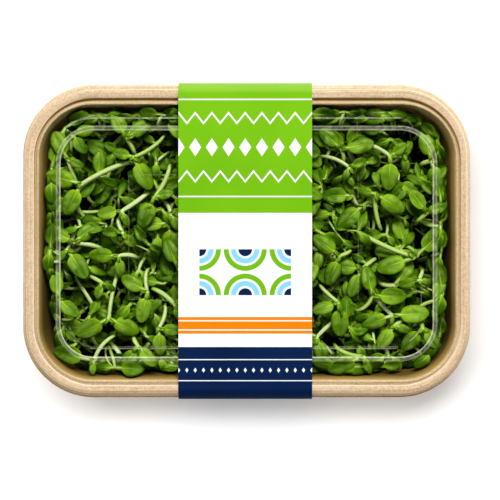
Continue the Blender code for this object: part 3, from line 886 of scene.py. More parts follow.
def round_off(points, turns):
    """An open line with its corners cut, so that they come out rounded."""
    for _ in range(turns):
        cut = [points[0]]
        for (x0, y0), (x1, y1) in zip(points, points[1:]):
            cut.append((0.75 * x0 + 0.25 * x1, 0.75 * y0 + 0.25 * y1))
            cut.append((0.25 * x0 + 0.75 * x1, 0.25 * y0 + 0.75 * y1))
        cut.append(points[-1])
        points = cut
    return points


def fine_ring(half_length, half_width, radius, shift_y=0.0):
    """A rounded rectangle as an array of points, with fine corners and divided straights. The
    straights are divided by the outline of the whole tray, so that all rings match."""
    along_x = round((TRAY_LENGTH - 2 * TRAY_CORNER) / STRAIGHT_STEP)
    along_y = round((TRAY_WIDTH - 2 * TRAY_CORNER) / STRAIGHT_STEP)
    arcs = []
    for quarter, (side_x, side_y) in enumerate(((1, 1), (-1, 1), (-1, -1), (1, -1))):
        x = side_x * (half_length - radius)
        y = side_y * (half_width - radius) + shift_y
        arc = []
        for step in range(CORNER_STEPS + 1):
            angle = math.radians(90) * (quarter + step / CORNER_STEPS)
            arc.append((x + radius * math.cos(angle), y + radius * math.sin(angle)))
        arcs.append(arc)
    points = []
    for arc, after, count in zip(arcs, arcs[1:] + arcs[:1], (along_x, along_y) * 2):
        points += arc
        for step in range(1, count):
            share = step / count
            points.append(tuple(a + (b - a) * share for a, b in zip(arc[-1], after[0])))
    return np.array(points)


def in_groove(inset, z):
    return GROOVE_INSETS[0] < inset < GROOVE_INSETS[1] and z > OUTER_WALL_TOP + MM


def uneven_rim(inset, z, y):
    """The height of a point of the rim. The lip is flatter and the groove deeper at the back."""
    back = clamp(y / (TRAY_WIDTH / 2 - inset), -1)
    if inset < LIP_INSET and z > LIP_LOW:
        return BAND_TOP - (BAND_TOP - z) * (1 - LIP_UNEVEN * back)
    if in_groove(inset, z) and z < GROOVE_TOP:
        return GROOVE_TOP - (GROOVE_TOP - z) * (1 + GROOVE_UNEVEN * back)
    if LIP_INSET <= inset < BAND_EDGE and z > BAND_LOW:
        return z - BAND_TILT * (inset - LIP_INSET)
    return z


def tray_section():
    """The tray's section from its floor inside, over the rim, to its underside."""
    foot = wall_inset(WALL_FOOT)
    section = [(foot + inset * MM, TRAY_UNDERSIDE + FIBRE + z * MM) for inset, z in INNER_BEND]
    section += [(foot, WALL_FOOT), (foot + (WALL_INSET - foot) / 2, (WALL_FOOT + WALL_TOP) / 2)]
    section += [(WALL_INSET, WALL_TOP)]
    section += [(inset * MM, z * MM) for inset, z in FINE_RIM]
    section += [(wall_inset(OUTER_WALL_TOP) - FIBRE, OUTER_WALL_TOP), (foot - FIBRE, WALL_FOOT)]
    section += [(foot + inset * MM, TRAY_UNDERSIDE + z * MM) for inset, z in OUTER_BEND]
    return round_off(section, 2)


def rim_ring(inset, z):
    """A ring of the tray and its half sizes. The rim is a little off a true outline."""
    above = clamp((z - OUTER_WALL_TOP) / RIM_RISE)
    within = clamp((inset - RIDGE_FROM) / MM)
    ridge = above * within
    shift = -RIM_SHIFT * above * min(inset / RIM_REACH, 1) - RIDGE_SHIFT * ridge
    broad = BAND_BROAD * above * min(inset / BAND_EDGE, max(0, 3 - 2 * inset / BAND_EDGE), 1)
    half_width = TRAY_WIDTH / 2 - inset * WIDTH_INSET_RATIO - broad + RIDGE_WIDE * ridge
    half_length = TRAY_LENGTH / 2 - inset + MOUTH_SLIM * clamp((z - MOUTH_LOW) / RIM_RISE) * within
    ring = fine_ring(half_length, half_width, TRAY_CORNER - inset, shift)
    ring[:, 0] += RIM_ASIDE * above * min(inset / BAND_EDGE, 1)
    return ring, half_length, half_width


def painted_light_at(inset, z, height, indoors, back, aside):
    """How much painted light the fibre has: painted shade up to 2, and painted highlight below 0.
    Back goes from 0 to 1 at the back, and aside from -1 at the front left to 1 at the back right."""
    # Painted highlight on the band's inner edge, strongest at the front left
    if HIGHLIGHT_INSETS[0] < inset < HIGHLIGHT_INSETS[1] and z > GROOVE_TOP:
        return HIGHLIGHT_LEAN * aside - BAND_EDGE_HIGHLIGHT
    # A line of painted shade on the lip at the front left, and one of painted highlight at the
    # back right
    if DARK_LINE[0] < inset < DARK_LINE[1] and z > LIP_LOW:
        return DARK_LINE_SHADE * max(0, -aside)
    if PALE_LINE[0] < inset < PALE_LINE[1] and z > LIP_LOW:
        return -PALE_LINE_HIGHLIGHT * max(0, aside)
    # Painted shade on the inside of the wall, darker with depth and weaker at the back
    wall_painted_shade = 0.0
    if indoors:
        wall_painted_shade = clamp((MOUTH_TOP - z) / MM) * (1 - BACK_SHADE_CUT * back)
        wall_painted_shade += clamp((MOUTH_TOP - MM - z) / WALL_FADE) * (1 - back)
    # Painted shade on the groove's floor, darker where the floor is deeper
    if in_groove(inset, z):
        return max(wall_painted_shade, GROOVE_SHADE * clamp((GROOVE_TOP - height) / GROOVE_DEEP))
    return wall_painted_shade


def unwrap_tray(item, section, count):
    """Lays the grain out along the rim and across its section, and flat on the floor."""
    grain = item.data.uv_layers.new(name="Grain")
    runs = distances(section)
    outline = fine_ring(TRAY_LENGTH / 2, TRAY_WIDTH / 2, TRAY_CORNER)
    rounds = distances([*outline, outline[0]])
    for polygon in item.data.polygons:
        columns = [vertex % count for vertex in polygon.vertices]
        wraps = max(columns) - min(columns) > 1
        for loop, vertex, column in zip(polygon.loop_indices, polygon.vertices, columns):
            if len(columns) > 4:
                grain.data[loop].uv = item.data.vertices[vertex].co.xy
            else:
                run = rounds[count] if wraps and column == 0 else rounds[column]
                grain.data[loop].uv = (run, runs[vertex // count])


def fine_tray():
    """The tray's section carried round, with the small unevenness of moulded pulp."""
    section = tray_section()
    lip = section.index(min(section))
    points = []
    inner = []
    for place, (inset, z) in enumerate(section):
        indoors = place < lip and inset > MOUTH_INSET
        ring, half_length, half_width = rim_ring(inset, z)
        for x, y in ring:
            spot = Vector((x, y, uneven_rim(inset, z, y)))
            push = noise.noise(spot * BUMP_SCALE) + FINE_BUMP * noise.noise(spot * FINE_BUMP_SCALE)
            inward = 1 - FIBRE_WAVE * (FIBRE_DRAWN_IN + push) / Vector((x, y)).length
            lift = noise.noise(spot * LIFT_SCALE + LIFT_OFFSET) * FIBRE_WAVE
            points.append((x * inward, y * inward, max(spot.z + lift, TRAY_UNDERSIDE)))
            back = clamp(y / half_width)
            aside = clamp(ASIDE_BY_LENGTH * x / half_length + y / half_width, -1)
            inner.append(painted_light_at(inset, z, spot.z, indoors, back, aside))
    faces = capped_rings(len(section), len(ring))
    item = new_mesh_object("tray_fibre", points, faces, [fibre_material()], facts={"inner": inner})
    unwrap_tray(item, section, len(ring))
    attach(item, "root")
    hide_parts("tray")


# Clear lid


def blend(tree, share, first, second):
    return add_node(tree, "MixShader", {0: share, 1: first, 2: second}).outputs[0]


def clear_material(name, highlight_share, tint, streaks=0.0, shine=0.6):
    """A clear sheet: see-through, with gloss that grows towards grazing angles, and a share of
    white diffuse as a painted highlight where the sheet is bent."""
    material, tree, shader = start_material(name)
    tree.nodes.remove(shader)
    clear = add_node(tree, "BsdfTransparent", {"Color": tint}).outputs[0]
    gloss = add_node(tree, "BsdfGlossy", {"Color": (1, 1, 1), "Roughness": 0.08}).outputs[0]
    facing = add_node(tree, "LayerWeight", {"Blend": 0.5}).outputs["Facing"]
    sheet = blend(tree, calc("MULTIPLY", calc("POWER", facing, 3), shine), clear, gloss)
    if highlight_share:
        painted_highlight = add_node(tree, "BsdfDiffuse", {"Color": (0.93, 0.96, 0.7)}).outputs[0]
        limits = (highlight_share * (1 - streaks), highlight_share * (1 + streaks))
        sheet = blend(tree, ramp(noise_at(tree, 420), 0.32, 0.68, *limits), sheet, painted_highlight)
    feed(tree.nodes["Material Output"].inputs, {0: sheet})
    return material


def lid_rib(line, half_width):
    """The points of a low rounded rib along a line on the sheet."""
    ahead = unit(np.gradient(line, axis=0))
    side = np.stack([-ahead[:, 1], ahead[:, 0], ahead[:, 2] * 0], axis=1)
    rows = []
    for place, across in zip(line, side):
        for share, rise in RIB_SECTION:
            out = across * share * half_width
            rows.append(tuple(place + out + UPWARD * rise * half_width))
    return rows


def bead_ring(inset, radius):
    half_length = BEAD_LENGTH / 2 - BEAD_IN[0] - inset * MM
    half_width = BEAD_WIDTH / 2 - BEAD_IN[1] - inset * MM
    return fine_ring(half_length, half_width, radius, -BEAD_FRONT_SHIFT)


def lid_rings():
    """Rings from the sheet's edge to its middle, with heights and the look of each strip."""
    rings = []
    for inset, z in LID_STEPS:
        inset *= MM
        half_width = TRAY_WIDTH / 2 - inset * WIDTH_INSET_RATIO
        ring = fine_ring(TRAY_LENGTH / 2 - inset, half_width, TRAY_CORNER - inset)
        rings.append((ring, z * MM, 0))
    edge = rings[-1][0]
    first = bead_ring(BEAD_PROFILE[0][0], BEAD_CORNER)
    rings += [(edge + (first - edge) * share, LID_TOP, 0) for share in LEDGE_SHARES]
    for inset, rise, kind in BEAD_PROFILE:
        rings.append((bead_ring(inset, BEAD_CORNER - inset * MM), LID_TOP + rise * MM, kind))
    last = rings[-1][0]
    middle = last.mean(axis=0)
    rings += [(middle + (last - middle) * share, LID_TOP, 0) for share in PANEL_SHARES]
    return rings


def fine_lid():
    """The sheet with its stepped edge and bead, as a closed shell of top and underside."""
    rings = lid_rings()
    count = len(rings[0][0])
    top = []
    for ring, z, _ in rings:
        for x, y in ring:
            wave = noise.noise(Vector((x, y, 0)) * LID_WAVE_SCALE) * LID_WAVE
            top.append((x, y, z + wave - LID_WAVE))
    size = len(top)
    low = size - count
    points = top + [(x, y, z - LID_SHEET) for x, y, z in top]
    faces = quads(len(rings), count, True)
    materials = np.repeat([kind for _, _, kind in rings[:-1]], count).tolist()
    materials += [0] * len(faces)
    faces = faces.tolist() + (faces[:, [1, 0, 3, 2]] + size).tolist()
    faces += joined(np.arange(count), size)[:, ::-1].tolist()
    faces += [tuple(range(low, size)), tuple(reversed(range(size + low, 2 * size)))]
    materials += [2] * count + [0, 0]
    for places, half_width, kind in LID_LINES:
        line = smooth_line([tuple(on_plan(place)) for place in places], 4)
        line = np.array(line) + (0, 0, LID_TOP - LID_WAVE)
        ribs = capped_rings(len(line), len(RIB_SECTION))
        faces += [tuple(len(points) + index for index in face) for face in ribs]
        materials += [kind] * len(ribs)
        points += lid_rib(line, half_width * MM)
    # Every look but the first adds white diffuse as a painted highlight, on the bead, the fine
    # ribs and the sheet's cut edge
    slots = [
        clear_material("clear_sheet_look", 0.0, (0.985, 0.99, 0.985)),
        clear_material("clear_sheet_flank_look", 0.36, (0.95, 0.96, 0.93), 0.2),
        clear_material("clear_sheet_bead_look", 0.115, (0.96, 0.97, 0.93), 0.4),
        clear_material("clear_sheet_line_look", 0.045, (0.97, 0.98, 0.95), 0.4, 0.15),
        clear_material("clear_sheet_edge_look", 0.185, (0.96, 0.97, 0.93), 0.3),
    ]
    item = new_mesh_object("lid_sheet", points, faces, slots, materials)
    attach(item, "root")
    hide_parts("lid")


# Card sleeve


def inside(value, low, high):
    """1 where a value is between two numbers, with a soft change at each."""
    above = ramp(value, low - EDGE, low + EDGE)
    return calc("MULTIPLY", above, ramp(value, high + EDGE, high - EDGE))


def card_materials():
    """The printed face, by distance along the band, and the plain card of its cut edges. The
    print is plain panels with simple geometric figures in rows."""
    material, tree, shader = start_material("printed_card_look")
    place = add_node(tree, "UVMap", uv_map="Print").outputs[0]
    u, v = part_of(place, 0), part_of(place, 1)
    soft = ramp(noise_at(tree, 25, 2), 0.3, 0.7)
    green = mix(soft, (0.165, 0.43, 0.004), (0.19, 0.47, 0.006))
    white = mix(soft, (0.80, 0.80, 0.79), (0.83, 0.83, 0.82))
    navy = mix(soft, (0.0002, 0.014, 0.065), (0.0003, 0.019, 0.078))
    # Painted sheen: the green turns paler and greyer over the bend at the rim's edge
    bend = ramp(v, SLEEVE_REACH - SLEEVE_BEND_RUN, SLEEVE_REACH, 0, 0.6)
    green = mix(bend, green, (0.23, 0.31, 0.085))
    color = mix(ramp(v, GREEN_FROM - EDGE, GREEN_FROM + EDGE), white, green)
    color = mix(ramp(v, NAVY_TO + EDGE, NAVY_TO - EDGE), color, navy)
    for middle, pitch, across, along in DIAMONDS:
        left = calc("DIVIDE", calc("PINGPONG", u, pitch * MM / 2), across * MM)
        back = calc("DIVIDE", calc("ABSOLUTE", calc("SUBTRACT", v, middle * MM)), along * MM)
        color = mix(ramp(calc("ADD", left, back), 1.04, 0.96), color, PRINT_WHITE)
    for middle, pitch, height, stroke in ZIGZAGS:
        slope = calc("MULTIPLY", calc("PINGPONG", u, pitch / 2 * MM), 2 * height / pitch)
        low = (middle - height / 2 - stroke / 2) * MM
        line = inside(calc("SUBTRACT", v, slope), low, low + stroke * MM)
        color = mix(line, color, PRINT_WHITE)
    for low, high, tint in RULES:
        color = mix(inside(v, low * MM, high * MM), color, tint)
    left = calc("PINGPONG", u, FAN_RADIUS)
    back = calc("PINGPONG", calc("SUBTRACT", v, FAN_FOOT), FAN_RADIUS)
    reach = calc("POWER", calc("ADD", calc("POWER", left, 2), calc("POWER", back, 2)), 0.5)
    figure = white
    for share, tint in FAN_RINGS:
        edge = share * FAN_RADIUS
        figure = mix(ramp(reach, edge + EDGE, edge - EDGE), figure, tint)
    area = inside(u, -FAN_SPREAD, FAN_SPREAD)
    area = calc("MULTIPLY", area, inside(v, FAN_FOOT, FAN_FOOT + FAN_RISE))
    fine = noise_at(tree, 1400)
    feed(shader.inputs, {
        "Base Color": mix(area, color, figure),
        "Roughness": ramp(fine, 0.3, 0.7, 0.5, 0.62),
        "Specular IOR Level": 0.12,
        "Normal": bump(fine, 0.01 * MM, 0.5),
    })
    edge, tree, shader = start_material("card_edge_look")
    core = mix(ramp(noise_at(tree, 1800), 0.3, 0.7), (0.62, 0.6, 0.55), (0.84, 0.82, 0.78))
    feed(shader.inputs, {"Base Color": core, "Roughness": 0.9})
    return [material, edge]


def sleeve_line():
    """The back half of the sleeve's outer line in the YZ plane, with fine bends, from the
    middle of its top to the middle of its underside."""
    flat = SLEEVE_REACH - SLEEVE_BEND_RUN
    line = [(flat * step / SLEEVE_TOP_STEPS, SLEEVE_TOP) for step in range(SLEEVE_TOP_STEPS)]
    for step in range(BEND_STEPS + 1):
        angle = math.radians(90) * step / BEND_STEPS
        y = SLEEVE_REACH - SLEEVE_BEND_RUN * (1 - math.sin(angle))
        line.append((y, SLEEVE_TOP - SLEEVE_BEND_DROP * (1 - math.cos(angle))))
    foot = []
    for step in range(FOOT_STEPS + 1):
        angle = math.radians(90) * step / FOOT_STEPS
        y = SLEEVE_FOOT_REACH + SLEEVE_FOOT_RUN * math.cos(angle)
        foot.append((y, SLEEVE_FOOT_RISE * (1 - math.sin(angle))))
    ends = tuple(zip(line[-1], foot[0]))
    for step in range(1, SLEEVE_SIDE_STEPS):
        share = step / SLEEVE_SIDE_STEPS
        line.append(tuple(start + (end - start) * share for start, end in ends))
    line += foot
    for step in range(1, SLEEVE_UNDER_STEPS):
        line.append((foot[-1][0] * (1 - step / SLEEVE_UNDER_STEPS), 0.0))
    return line


def fine_sleeve():
    """The band as a closed shell: outer face, inner face and two cut edges."""
    half = sleeve_line()
    line = np.array(half + [(0.0, 0.0)] + [(-y, z) for y, z in reversed(half[1:])])
    count = len(line)
    ahead = np.roll(line, -1, axis=0) - np.roll(line, 1, axis=0)
    normal = unit(np.stack([-ahead[:, 1], ahead[:, 0]], axis=1))
    if normal[0][1] < 0:
        normal = -normal
    xs = SLEEVE_X + SLEEVE_WIDTH * (np.arange(SLEEVE_COLUMNS) / (SLEEVE_COLUMNS - 1) - 0.5)
    points = []
    for inward in (0, CARD):
        for x in xs:
            for (y, z), (ny, nz) in zip(line, normal):
                wave = 0.0
                if z > SLEEVE_TOP - 0.01 * MM:
                    wave = noise.noise(Vector((x, y, 0)) * CARD_WAVE_SCALE)
                    wave = CARD_WAVE * (0.5 + 0.5 * wave)
                points.append((x, y - ny * inward, z - nz * inward - wave))
    size = SLEEVE_COLUMNS * count
    outer = quads(SLEEVE_COLUMNS, count, True)
    faces = outer[:, [0, 3, 2, 1]].tolist() + (outer + size).tolist()
    materials = [0] * len(outer) + [1] * (len(outer) + 2 * count)
    runs = distances([*line, line[0]])
    ends = np.stack([runs[:-1], runs[1:]])
    ends = ends - np.where(ends.mean(axis=0) > runs[-1] / 2, runs[-1], 0)
    ends = np.tile(ends, SLEEVE_COLUMNS - 1)
    sides = np.repeat([xs[:-1], xs[1:]], count, axis=1) - SLEEVE_X
    marks = np.stack([sides[[0, 0, 1, 1]], ends[[0, 1, 1, 0]]], axis=-1).transpose(1, 0, 2)
    marks = np.concatenate([marks[:, [0, 3, 2, 1]], marks, np.zeros((2 * count, 4, 2))])
    edge = joined(np.arange(count), size)
    faces += edge.tolist() + (edge[:, ::-1] + size - count).tolist()
    item = new_mesh_object("sleeve_card", points, faces, card_materials(), materials)
    item.data.uv_layers.new(name="Print").data.foreach_set("uv", marks.ravel())
    item.data.set_sharp_from_angle(angle=math.radians(40))
    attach(item, "root")
    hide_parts("sleeve")


# Shoots


class Skin:
    """The points, faces and shader facts of one piece, gathered part by part."""

    def __init__(self):
        self.points = []
        self.faces = []
        self.materials = []
        self.facts = {"share": [], "across": [], "chance": []}
        self.size = 0

    def add(self, points, faces, material, share, across, chance):
        self.points.append(points)
        self.faces.append(faces + self.size)
        self.materials.append(np.full(len(faces), material))
        self.facts["share"].append(share)
        self.facts["across"].append(across)
        self.facts["chance"].append(np.full(len(points), chance))
        self.size += len(points)

    def build(self, name, slots):
        points = np.concatenate(self.points).tolist()
        faces = np.concatenate(self.faces).tolist()
        faces = [face if face[2] != face[3] else face[:3] for face in faces]
        facts = {key: np.concatenate(values) for key, values in self.facts.items()}
        return new_mesh_object(name, points, faces, slots, np.concatenate(self.materials), facts)


def add_sheet(skin, top, bottom, material, shares, acrosses, chance):
    """A closed sheet between two grids of points, joined along their rims."""
    rows, columns = top.shape[:2]
    size = rows * columns
    rim = np.concatenate([
        np.arange(columns),
        np.arange(2 * columns - 1, size, columns),
        np.arange(size - 2, size - columns - 1, -1),
        np.arange(size - 2 * columns, 0, -columns),
    ])
    upper = quads(rows, columns)
    points = np.concatenate([top.reshape(-1, 3), bottom.reshape(-1, 3)])
    faces = np.concatenate([upper, upper[:, ::-1] + size, joined(rim, size)[:, [0, 3, 2, 1]]])
    share = np.tile(np.repeat(np.array(shares, float), columns), 2)
    skin.add(points, faces, material, share, np.tile(acrosses, 2 * rows), chance)


def leaf_line(leaf, alongs):
    """Points along the middle of a leaf."""
    alongs = np.asarray(alongs, float)[:, None]
    course = np.array(leaf.tip - leaf.base)
    arch = LEAF_ARCH * 4 * alongs * (1 - alongs)
    return np.array(leaf.base) + course * alongs + UPWARD * arch


def leaf_sheet(leaf, shares, acrosses, draw, wild):
    """The fine middle surface of a leaf: the plain form, with a dip along its midrib, two
    slightly puffed halves and a wavy margin. Wild leaves are also folded, twisted and curled."""
    course = np.array(leaf.tip - leaf.base)
    side = unit(np.cross(UPWARD, course))
    face = unit(np.cross(course, side))
    side = unit(np.cross(face, course))
    blade = 1 - leaf.stalk
    alongs = []
    for share in shares:
        alongs.append(leaf.stalk * (1 + share) if share < 0 else leaf.stalk + share * blade)
    widths = [leaf_half_width(leaf, along, BLUNTNESS, BROADNESS) for along in alongs]
    widths = np.array(widths)[:, None, None]
    middle = leaf_line(leaf, alongs)[:, None, :]
    across = np.array(acrosses)[None, :, None]
    share = np.clip(np.array(shares), 0, 1)[:, None, None]
    size = leaf.half_width / (BLADE_LENGTH * BLADE_ASPECT / 2)
    swell = np.sin(np.pi * share**OVAL_LEAN)
    dip = -MIDRIB_DIP * np.exp(-((across / MIDRIB_WIDTH) ** 2)) * swell
    puff = HALF_PUFF * 4 * np.abs(across) * (1 - np.abs(across)) * swell
    turns = draw.uniform(*MARGIN_TURNS)
    phase = draw.uniform(*WAVE_PHASE)
    wave = np.sin(2 * np.pi * turns * share + phase + (across > 0) * draw.uniform(*MARGIN_LAG))
    wave = MARGIN_WAVE * (1 + wild) * wave * across**4 * swell
    bend = (dip + puff + wave) * size
    turn = leaf.roll + wild * draw.uniform(-1, 1) * LEAF_TWIST * (share - TWIST_FROM)
    rolled = side * np.cos(turn) + face * np.sin(turn)
    fold = wild * draw.uniform(*FOLD_RANGE) * LEAF_FOLD * np.abs(across) * widths * swell
    curl = wild * draw.uniform(*CURL_RANGE) * LEAF_CURL * share**2 * leaf.half_width
    rise = leaf.cup * widths * across**2 + bend + fold
    return middle - UPWARD * curl + rolled * across * widths + face * rise


def normals_of(sheet):
    """Upward normals of a grid of points."""
    across = np.cross(np.gradient(sheet, axis=0), np.gradient(sheet, axis=1))
    normal = unit(across)
    normal[np.linalg.norm(across, axis=-1) < 1e-14] = (0, 0, 1)
    return -normal if normal[..., 2].sum() < 0 else normal


def add_leaf(skin, leaf, chance, draw, fine, wild):
    """A leaf as a closed sheet. Its chance sets its colour: pale at 1, dark at -1, where values
    below 0 are painted shade.
    """
    shares = [step - 1 for step in STALK_ROWS] + list(FINE_ROWS if fine else SMALL_ROWS)
    acrosses = np.array(FINE_ACROSS if fine else SMALL_ACROSS, float)
    sheet = leaf_sheet(leaf, shares, acrosses, draw, wild)
    half = LEAF_THICKNESS / 2 * (1 - EDGE_THINNING * acrosses**2)[None, :, None]
    if not fine:
        half = half * SMALL_THICKNESS
    push = normals_of(sheet) * half
    add_sheet(skin, sheet + push, sheet - push, 0, shares, acrosses, chance)


def add_tube(skin, line, radii, sides, chance, shares, ribs=0, depth=0.0, turn=0.0):
    """A tube round a line, with lengthwise ribs, that closes to a point at each end."""
    line = np.asarray(line, float)
    ahead = unit(np.gradient(line, axis=0))
    first = np.cross(ahead[0], ANY_SLANT)
    normals = [first / np.linalg.norm(first)]
    for course in ahead[1:]:
        carried = normals[-1] - course * np.dot(normals[-1], course)
        normals.append(carried / np.linalg.norm(carried))
    normals = np.array(normals)
    crosses = np.cross(ahead, normals)
    angles = np.arange(sides) * 2 * np.pi / sides
    wave = np.cos(ribs * angles + turn)
    radii = np.asarray(radii, float)[:, None] * (1 + depth * wave)[None, :]
    ring = normals[:, None, :] * np.cos(angles)[None, :, None]
    ring = ring + crosses[:, None, :] * np.sin(angles)[None, :, None]
    rings = line[:, None, :] + ring * radii[:, :, None]
    count = len(rings)
    size = count * sides
    points = np.concatenate([rings.reshape(-1, 3), line[[0, -1]]])
    here = np.arange(sides)
    after = (here + 1) % sides
    tip = np.full(sides, size)
    start = np.stack([after, here, tip, tip], axis=1)
    end = np.stack([here + size - sides, after + size - sides, tip + 1, tip + 1], axis=1)
    faces = np.concatenate([quads(count, sides, True), start, end])
    share = np.concatenate([np.repeat(np.asarray(shares, float), sides), [shares[0], shares[-1]]])
    skin.add(points, faces, 1, share, np.concatenate([np.tile(wave, count), [0, 0]]), chance)


def stem_path(shoot, lift):
    """A stem's line. With lift it bends over sooner and runs higher, just under its head."""
    line = bezier(shoot.stem, len(STEM_RUNS))
    top = line[-1]
    for step, drop in STEM_DROPS:
        flat = line[0] + (top - line[0]) * STEM_RUNS[step]
        wanted = np.array([flat[0], flat[1], max(top[2] - drop * MM, line[step][2])])
        line[step] = line[step] + (wanted - line[step]) * lift
    return np.array(smooth_line(list(line), 4))


def bezier(points, count):
    return np.array([list(point) for point in interpolate_bezier(*points, count)])


def raise_stems(shoots):
    """How much each large stem can be raised and stay clear of the other shoots."""
    entries = []
    for number, shoot in enumerate(shoots):
        entries += [(point, radius, number) for point, radius in feelers(shoot)]
    tree = tree_of(entries)

    def is_free(number, lift):
        for point in stem_path(shoots[number], lift)[STEM_ROOTED:]:
            for _, index, distance in tree.find_range(Vector(point), 2 * STEM_RADIUS + LIFT_GAP):
                _, radius, owner = entries[index]
                if owner != number and distance < STEM_RADIUS + radius + LIFT_GAP:
                    return False
        return True

    lifts = []
    for number in range(len(shoots)):
        lifts.append(next((lift for lift in LIFTS if is_free(number, lift)), LIFTS[-1]))
    return lifts


def add_shoot(skin, shoot, draw, radius, fine, leaf_painted_shade, lift=0.0):
    """A stem that forks at its head into the stalks of its leaves, with a bud in the fork."""
    chance = draw.random()
    line = stem_path(shoot, lift) if fine else bezier(shoot.stem, SMALL_STEM_POINTS)
    steps = np.linspace(0, 1, len(line))
    run = line[-1] - line[0]
    aside = unit(np.array([-run[1], run[0], 0.0]))
    bow = draw.uniform(-1, 1) * STEM_BOW * min(1, np.linalg.norm(run[:2]) / STEM_BOW_RUN)
    line = line + aside * (bow * np.sin(np.pi * steps**BOW_LEAN))[:, None]
    if fine:
        radius *= draw.uniform(*STEM_SCALE)
    turn = draw.uniform(*WAVE_PHASE)
    sides, ribs = FINE_SECTION if fine else SMALL_SECTION
    radii = radius * np.interp(steps, *STEM_SWELL)
    add_tube(skin, line, radii, sides, chance, steps, ribs, RIB_DEPTH, turn)
    before = line[-4 if fine else -2]
    head = line[-1]
    calm = FINE_WILD if fine else WALL_WILD if leaf_painted_shade == WALL_PAINTED_SHADE else 1.0
    thick = STALK / 2 * radius / STEM_RADIUS if fine else radius * SMALL_STALK
    for leaf in shoot.leaves:
        blade = 1 - leaf.stalk
        stops = [leaf.stalk * STALK_STOP] + [leaf.stalk + stop * blade for stop in BLADE_STOPS]
        below = np.array(STALK_SUNK) * MM
        run = leaf_line(leaf, stops) - UPWARD * below[:, None]
        smooth = smooth_line([before, head + (run[0] - head) * FORK_SHARE, *run], 4 if fine else 2)
        shares = np.linspace(*STALK_SHARES, len(smooth))
        radii = thick * np.interp(np.linspace(0, 1, len(smooth)), *STALK_SWELL)
        add_tube(skin, smooth, radii, 8 if fine else 5, chance, shares)
        # Leaves of lower and wall shoots are darkened by painted shade
        add_leaf(skin, leaf, draw.random() - leaf_painted_shade, draw, fine, calm)
    if fine:
        add_bud(skin, shoot, head, draw)


def add_bud(skin, shoot, head, draw):
    """Two narrow young leaves that stand up in the fork."""
    tips = [np.array(leaf.tip) - head for leaf in shoot.leaves]
    middle = math.atan2(sum(tip[1] for tip in tips), sum(tip[0] for tip in tips))
    for side in (1, -1):
        angle = middle + side * draw.uniform(*BUD_TURN)
        length = draw.uniform(*BUD_LENGTH)
        tip = Vector(head) + heading(angle, length, BUD_RISE)
        base = Vector(head) - UP * BUD_SUNK * MM
        roll = draw.uniform(*BUD_ROLL)
        leaf = Leaf(base, tip, length * BUD_ASPECT / 2, BUD_STALK, roll, BUD_CUP)
        add_leaf(skin, leaf, draw.uniform(*BUD_CHANCE), draw, False, BUD_WILD)


def small_spot(draw, cell, level):
    """A spot over a cell, or between an outer cell and the tray's wall."""
    middle = cell_middle(*cell)
    low = [middle.x - CELL_LENGTH / 2, middle.y - CELL_WIDTH / 2]
    high = [middle.x + CELL_LENGTH / 2, middle.y + CELL_WIDTH / 2]
    reach = (TRAY_LENGTH / 2 - WALL_INSET, TRAY_WIDTH / 2 - WALL_INSET)
    for axis, count in ((0, COLUMNS), (1, ROWS)):
        if cell[axis] == 0:
            low[axis] = -reach[axis]
        if cell[axis] == count - 1:
            high[axis] = reach[axis]
    while True:
        spot = Vector((draw.uniform(low[0], high[0]), draw.uniform(low[1], high[1]), 0))
        if room_at(spot, level) > SMALL_MARGIN:
            return spot


# Three kinds of young shoot. Each gives its root, head, tips and the height of its head


def small_shoot(draw, cell):
    """One that leans out from its root over its cell."""
    level = draw.uniform(*SMALL_HEAD)
    head = small_spot(draw, cell, level)
    root = rooted(head, cell)
    away = head - root
    course = math.atan2(away.y, away.x) if away.length > MM else draw.uniform(*ANY_WAY)
    if away.length < SMALL_REACH[0]:
        root = rooted(head + heading(draw.uniform(*ANY_WAY), SMALL_REACH[1]), cell)
    tips = spread_tips(draw, head, course + draw.uniform(*SMALL_LEAN), SMALL_TURN, SMALL_LEAF)
    return root, head, tips, level


def wall_shoot(draw, cell):
    """One close to the wall, with its leaves along it."""
    level = draw.uniform(*WALL_HEAD)
    lengths = [draw.uniform(*WALL_LEAF) for _ in range(2)]
    gap = max(lengths) * (1 - SHORTEST_STALK) * BLADE_ASPECT / 2 + draw.uniform(*WALL_SPARE)
    for _ in range(WALL_TRIES):
        head = small_spot(draw, cell, level)
        if room_at(head, level) < WALL_BELT:
            break
    slopes = []
    for way in (Vector((SLOPE_STEP, 0, 0)), Vector((0, SLOPE_STEP, 0))):
        slopes.append(room_at(head + way, level) - room_at(head - way, level))
    inward = math.atan2(slopes[1], slopes[0])
    head += heading(inward, gap - room_at(head, level))
    root = rooted(head, cell)
    tips = []
    for side, length in zip((1, -1), lengths):
        tips.append(head + heading(inward + side * draw.uniform(*WALL_TURN), length))
    return root, head, tips, level


def stray_shoot(draw, cell):
    """One that lies across the others, with small leaves at its end."""
    level = draw.uniform(*STRAY_HEAD)
    head = small_spot(draw, cell, level)
    lean = draw.uniform(*ANY_WAY)
    root = rooted(head + heading(lean, draw.uniform(*STRAY_REACH)), cell)
    tips = spread_tips(draw, head, lean + math.pi, STRAY_TURN, STRAY_LEAF)
    return root, head, tips, level


